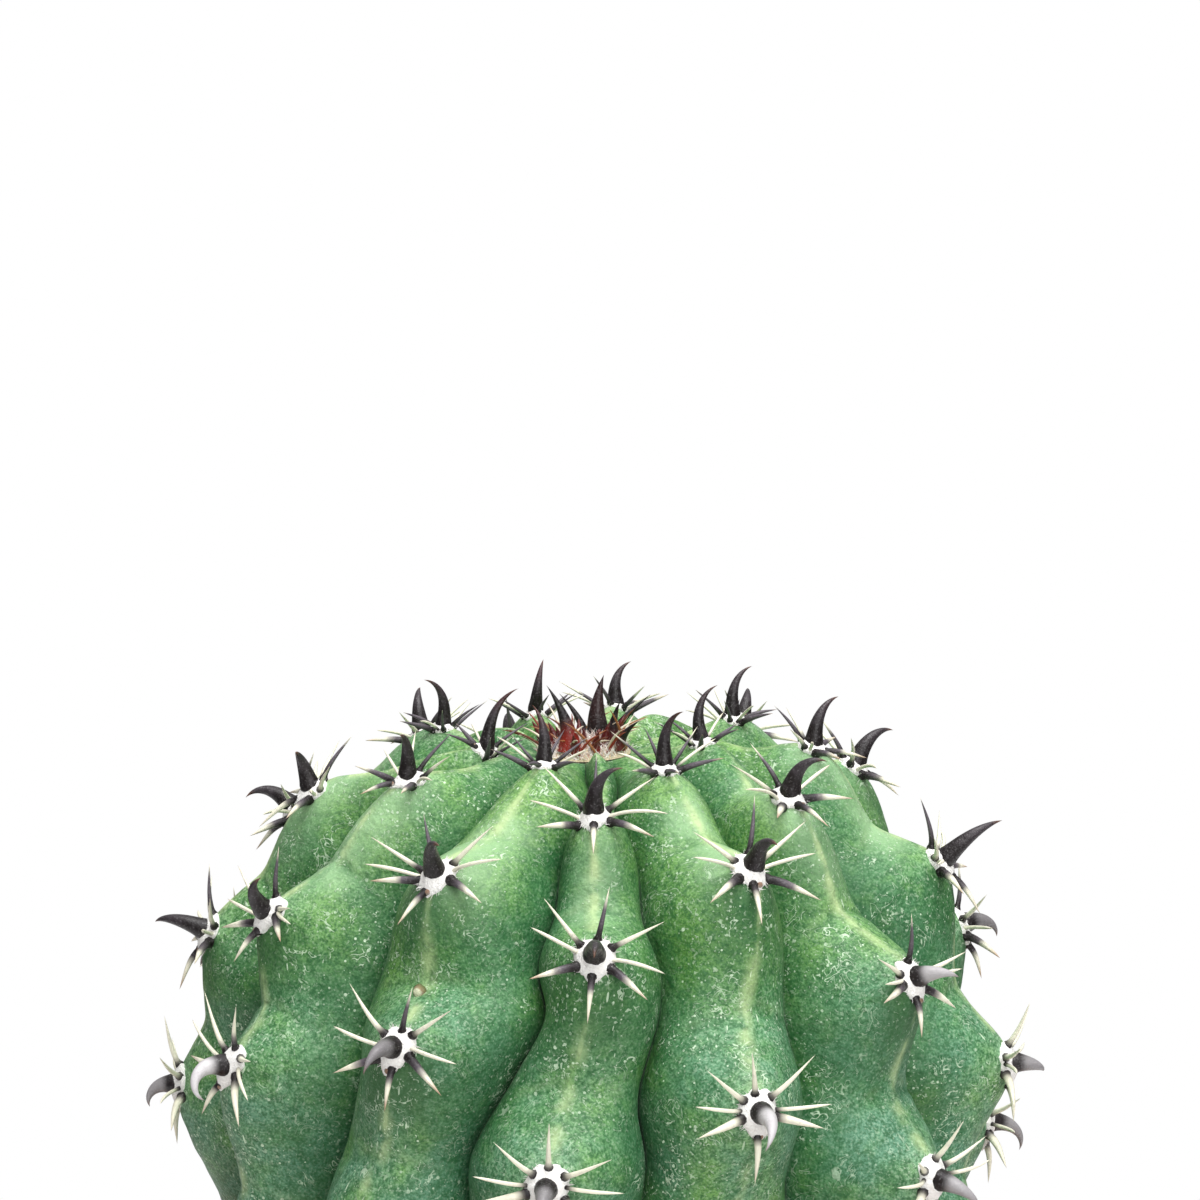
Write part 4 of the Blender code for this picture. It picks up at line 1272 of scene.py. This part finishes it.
def make_stem():
    dress(make_skin(), "stem_spined")
    wool = Shape()
    radials = Shape()
    hooks = Shape()
    rng = random.Random(SPINE_SEED)
    loose = random.Random(SPINE_SEED + 1)
    for number in range(FIRST_AREOLE, LAST_AREOLE + 1):
        areole = Areole(number)
        add_cluster(radials, hooks, areole, rng, loose)
        add_pad(wool, areole, loose)
    add_wart(wool)
    for shape, name, material in (
        (wool, "areole_wool", wool_material("areole_wool", FELT_GREY)),
        (radials, "radial_spines", spine_material("radial_spines", 0.45)),
        (hooks, "hooked_spines", spine_material("hooked_spines", 0.38)),
    ):
        dress(shape.make(name, material), "stem_spined")


# Crown tuft


def tuft_point(angle, share, rise):
    """Point over the hollow at a share of the tuft's radius, as high as a share of its rise."""
    seat = hollow_point(angle, TUFT_RADIUS * share)
    floor = seat.z + PIECE_GAP
    top = hollow_point(angle, TUFT_RADIUS).z + PIECE_GAP + TUFT_RISE
    seat.z = floor + (top - floor) * rise
    return lean(seat, FIRST_RING)


def wool_rise(share):
    return 0.15 + 0.85 * (1 - share ** 3)


def add_crown_wool(shape, rng):
    rings = []
    for k in range(WOOL_RINGS + 1):
        share = 1 - k / (WOOL_RINGS + 1)
        ring = []
        for angle in turns(WOOL_SPOKES):
            tint = mix(WOOL_CREAM, WOOL_RED, rng.uniform(0, 0.4) * (1 - share))
            ring.append(shape.add(tuft_point(angle, share, wool_rise(share) * rng.uniform(0.82, 1.1)), tint))
        rings.append(ring)
    shape.dome(rings[::-1], tuft_point(0, 0, 1), WOOL_CREAM)
    base = [shape.add(tuft_point(angle, 1, 0), WOOL_CREAM) for angle in turns(WOOL_SPOKES)]
    shape.band(rings[0], base)
    shape.fan(base, shape.add(tuft_point(0, 0, 0), WOOL_CREAM))
    for _ in range(CROWN_HAIRS):
        angle = rng.uniform(0, FULL_TURN)
        share = sqrt(rng.uniform(0.02, 1))
        root = tuft_point(angle, share, wool_rise(share))
        swing = Vector((rng.uniform(-1, 1), rng.uniform(-1, 1), rng.uniform(0.2, 1.4))).normalized()
        tip = root + swing * rng.uniform(*CROWN_HAIR)
        tint = mix(FELT_WHITE, WOOL_RED, rng.choice((0, 0, 0.1, 0.6)))
        shape.hair(root, tip, swing.orthogonal().normalized() * HAIR_WIDTH, tint)


def young_tint(foot, tip):
    """One colour at the foot, another towards the tip."""
    return lambda share: mix(foot, tip, smooth(0.15, 0.52, share))


def add_young(shape, index, rng):
    angle = index * YOUNG_SPIRAL
    share = between(YOUNG_PLACES, sqrt(index / YOUNG_SPINES))
    root = tuft_point(angle, share, 0) + UP * YOUNG_ROOT
    out = upright(angle, 1, 0)
    splay = share * rng.uniform(*YOUNG_SPLAY)
    length = YOUNG_LENGTH * rng.uniform(*YOUNG_LENGTH_SPREAD)
    tip = root + (out * splay + UP).normalized() * length
    tint_at = young_tint(mix(SPINE_MAROON, SPINE_RED, (index % 3) / 2), SPINE_MAROON)
    shape.horn(root, tip, -out * YOUNG_LENGTH * YOUNG_BOW, YOUNG_RADIUS, YOUNG_TAPER, *YOUNG_MESH, tint_at)


def add_crown_hook(shape, index):
    foot_x, foot_y, tip_x, tip_y, rise, radius = CROWN_HOOKS[index]
    floor = hollow_point(0, hypot(foot_x, foot_y)).z + PIECE_GAP
    foot = Vector((foot_x, foot_y, floor + YOUNG_ROOT + radius * CROWN_HOOK_LIFT))
    tip = Vector((tip_x, tip_y, foot.z + rise))
    away = Vector((tip_x - foot_x, tip_y - foot_y, 0)).normalized()
    ends = (lean(foot, FIRST_RING), lean(tip, FIRST_RING), -away * CROWN_HOOK_BOW)
    shape.horn(*ends, radius, CROWN_TAPERS[index], *CROWN_HOOK_MESH, young_tint(*CROWN_TINTS[index]))


def add_bristle(shape, rng):
    """Thin young radial spine that lies criss-cross over the crown."""
    angle = rng.uniform(0, FULL_TURN)
    root = tuft_point(angle, rng.uniform(0.3, 0.98), 0.5)
    out = upright(angle, 1, 0)
    across = Vector((out.y, -out.x, 0)) * rng.uniform(-1, 1)
    aim = (out * rng.uniform(-0.3, 1) + across + UP * rng.uniform(0.3, 0.85)).normalized()
    tip = root + aim * rng.uniform(*BRISTLE_LENGTH)
    base = rng.choice((SPINE_RED, SPINE_RUST, SPINE_IVORY, SPINE_IVORY, SPINE_MAROON))

    def tint_at(share):
        return mix(base, SPINE_RUST, 0.4 * share)

    shape.horn(root, tip, UP * BRISTLE_BOW, BRISTLE_RADIUS, BRISTLE_TAPER, *BRISTLE_MESH, tint_at)


def make_tuft():
    rng = random.Random(TUFT_SEED + 3)
    wool = Shape()
    add_crown_wool(wool, rng)
    spines = Shape()
    placed = random.Random(TUFT_SEED)
    for index in range(YOUNG_SPINES):
        add_young(spines, index, placed)
    for index in range(len(CROWN_HOOKS)):
        add_crown_hook(spines, index)
    for _ in range(BRISTLES):
        add_bristle(spines, rng)
    dress(wool.make("crown_wool", wool_material("crown_wool", WOOL_RED)), "crown_tuft")
    dress(spines.make("young_spines", spine_material("young_spines", 0.4)), "crown_tuft")


# Pot and its fill


def around(angle, radius, height):
    return Vector((radius * cos(angle), radius * sin(angle), height))


def rounded(corners):
    """Points of a closed outline whose corners are rounded by their edge lengths."""
    points = []
    count = len(corners)
    for i, (radius, z, edge) in enumerate(corners):
        here = Vector((radius, z))
        if edge == 0:
            points.append(here)
            continue
        start = here + (Vector(corners[i - 1][:2]) - here).normalized() * edge
        end = here + (Vector(corners[(i + 1) % count][:2]) - here).normalized() * edge
        for k in range(POT_ROUND + 1):
            share = k / POT_ROUND
            points.append(start * (1 - share) ** 2 + here * 2 * share * (1 - share) + end * share ** 2)
    return points


def pot_profile():
    band_z = POT_HEIGHT - POT_BAND_HEIGHT
    return rounded((
        (DRAIN_HOLE_RADIUS, 0, POT_SMALL_EDGE),
        (POT_FOOT_RADIUS, 0, POT_EDGE),
        (pot_outer_radius(band_z), band_z, 0),
        (pot_outer_radius(band_z) + POT_BAND_STEP, band_z, POT_SMALL_EDGE),
        (POT_RIM_RADIUS, POT_HEIGHT, POT_EDGE),
        (pot_inner_radius(POT_HEIGHT), POT_HEIGHT, POT_EDGE),
        (pot_inner_radius(POT_FLOOR), POT_FLOOR, 0),
        (DRAIN_HOLE_RADIUS, POT_FLOOR, POT_SMALL_EDGE),
    ))


def make_pot():
    shape = Shape()
    shape.loop([[shape.add(around(angle, *place)) for angle in turns(POT_TURN)] for place in pot_profile()])
    obj = shape.make("clay_pot", clay_material())
    obj.data.set_sharp_from_angle(angle=POT_SHARP)
    turn_outward(obj)
    dress(obj, "pot")


def stem_outline():
    """Angle and radius of points round the stem at the height of the grit, in order of angle."""
    outline = []
    for rib in range(RIBS):
        for side in OUTLINE_SIDES:
            run = GRIT_RUN
            point = stem_point(rib, side, run)
            while point.z < GRIT_TOP - BED_DROP:
                run -= OUTLINE_STEP
                point = stem_point(rib, side, run)
            outline.append((atan2(point.y, point.x), hypot(point.x, point.y)))
    outline.sort()
    first = outline[0]
    last = outline[-1]
    return [(last[0] - FULL_TURN, last[1])] + outline + [(first[0] + FULL_TURN, first[1])]


def reach_at(outline, angle):
    """Radius of the outline in a direction, between its two nearest points."""
    angle = atan2(sin(angle), cos(angle))
    for before, after in zip(outline, outline[1:]):
        if before[0] <= angle <= after[0]:
            share = (angle - before[0]) / max(after[0] - before[0], TINY_ANGLE)
            return between((before[1], after[1]), share)
    return outline[0][1]


def unit_pebble():
    bm = bmesh.new()
    bmesh.ops.create_icosphere(bm, subdivisions=2, radius=1)
    points = [vert.co.copy() for vert in bm.verts]
    faces = [tuple(vert.index for vert in face.verts) for face in bm.faces]
    bm.free()
    return points, faces


def add_pebble(shape, pebble, centre, half, rng):
    points, faces = pebble
    turn = Matrix.Rotation(rng.uniform(0, FULL_TURN), 3, "Z")
    turn = turn @ Matrix.Rotation(rng.uniform(-PEBBLE_TILT, PEBBLE_TILT), 3, "X")
    stretch = Vector([rng.uniform(*ends) for ends in PEBBLE_STRETCH])
    grey = rng.uniform(*PEBBLE_GREY)
    tint = tuple(min(1, value * grey) for value in rng.choice(PEBBLE_TINTS))
    first = len(shape.points)
    for point in points:
        lump = 1 + PEBBLE_LUMP * noise.noise(point * PEBBLE_WAVES + centre * PEBBLE_SCATTER)
        shape.add(turn @ (point * stretch * half * lump) + centre, tint)
    for face in faces:
        shape.faces.append(tuple(index + first for index in face))


def add_grit_bed(shape, outline, outer):
    """The layer under the loose stones, a closed ring."""
    bottom = GRIT_TOP - GRIT_DEPTH
    top = GRIT_TOP - BED_DROP
    low_outer = pot_inner_radius(bottom) - PIECE_GAP
    rings = [[] for _ in range(4)]
    for angle in turns(BED_TURN):
        inner = reach_at(outline, angle) + PIECE_GAP
        for ring, place in zip(rings, ((inner, bottom), (low_outer, bottom), (outer, top), (inner, top))):
            ring.append(shape.add(around(angle, *place), GRIT_BED))
    shape.loop(rings)


def make_grit():
    shape = Shape()
    rng = random.Random(GRIT_SEED)
    pebble = unit_pebble()
    outline = stem_outline()
    outer = pot_inner_radius(GRIT_TOP) - PIECE_GAP
    add_grit_bed(shape, outline, outer)
    for number in range(PEBBLES + RIM_PEBBLES):
        half = rng.uniform(*PEBBLE_HALF)
        margin = half * PEBBLE_MARGIN
        angle = rng.uniform(0, FULL_TURN)
        inner = reach_at(outline, angle) + PIECE_GAP
        reach = sqrt(rng.uniform((inner + margin) ** 2, (outer - margin) ** 2))
        if number >= PEBBLES:
            half = half * RIM_PEBBLE_SIZE
            reach = inner + half
        add_pebble(shape, pebble, around(angle, reach, GRIT_TOP - PEBBLE_SINK), half, rng)
    dress(shape.make("stone_grit", stone_material("stone_grit"), smooth_faces=False), "top_grit")


def dress_hidden_fill():
    """The mix and the gravel keep the part's own solids."""
    for name, material in (
        ("potting_mix", soil_material("potting_soil", SOIL_DARK, SOIL_PALE)),
        ("drain_gravel", soil_material("drain_stones", GRAVEL_DARK, GRAVEL_PALE)),
    ):
        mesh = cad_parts[name].data
        mesh.materials.clear()
        mesh.materials.append(material)


# Stage


def make_floor():
    """Round pale floor whose edge fades into the white surroundings."""
    bpy.ops.mesh.primitive_circle_add(vertices=FLOOR_SIDES, radius=FLOOR_RADIUS, fill_type="NGON")
    floor = bpy.context.object
    floor.name = "studio_floor"
    made = material_nodes("studio_floor")
    place = made.split(made.place)
    square = made.math("ADD", made.times(place[0], place[0]), made.times(place[1], place[1]))
    floor.data.materials.append(made.finish(FLOOR_WHITE, 0.9, 0.2, Alpha=made.step(square, *FLOOR_FADE)))


def put(data, place, turn):
    obj = bpy.data.objects.new(data.name, data)
    obj.location = place
    obj.rotation_euler = turn
    bpy.context.scene.collection.objects.link(obj)
    return obj


def make_light(name, place, size, power):
    data = bpy.data.lights.new(name, "AREA")
    data.shape = "SQUARE"
    data.size = size
    data.energy = power
    aim = UP * GLOBE_CENTRE_Z - Vector(place)
    put(data, place, aim.to_track_quat("-Z", "Y").to_euler())


def make_world():
    """White behind the plant; light that is strongest from above and weak from below."""
    world = bpy.data.worlds.new("studio")
    bpy.context.scene.world = world
    made = Nodes(world)
    place = made.split(made.node("TexCoord")["Generated"])
    level = made.step(place[2], -1, 1, SKY_BELOW, SKY_ABOVE, "LINEAR")
    aside = made.step(made.math("ABSOLUTE", place[0]), 0, 1, 1, SKY_ASIDE, "LINEAR")
    behind = made.node("LightPath")["Is Camera Ray"]
    sky = made.tree.nodes["Background"]
    made.value(WHITE, sky.inputs["Color"])
    made.value(made.node("Mix", {0: behind, 2: made.times(level, aside), 3: 1})[0], sky.inputs["Strength"])


def make_camera():
    data = bpy.data.cameras.new("photo_camera")
    data.sensor_width = SENSOR_WIDTH
    data.lens = SENSOR_WIDTH * FOCAL_PIXELS / PHOTO_SIZE
    data.clip_start = CAMERA_NEAR
    place = (0, -CAMERA_DISTANCE, GLOBE_CENTRE_Z + CAMERA_RISE)
    bpy.context.scene.camera = put(data, place, (pi / 2 + CAMERA_PITCH, 0, CAMERA_YAW))


make_stem()
make_tuft()
make_pot()
make_grit()
dress_hidden_fill()
make_floor()
for light in LIGHTS:
    make_light(*light)
make_world()
make_camera()
bpy.context.scene.view_settings.view_transform = "Standard"
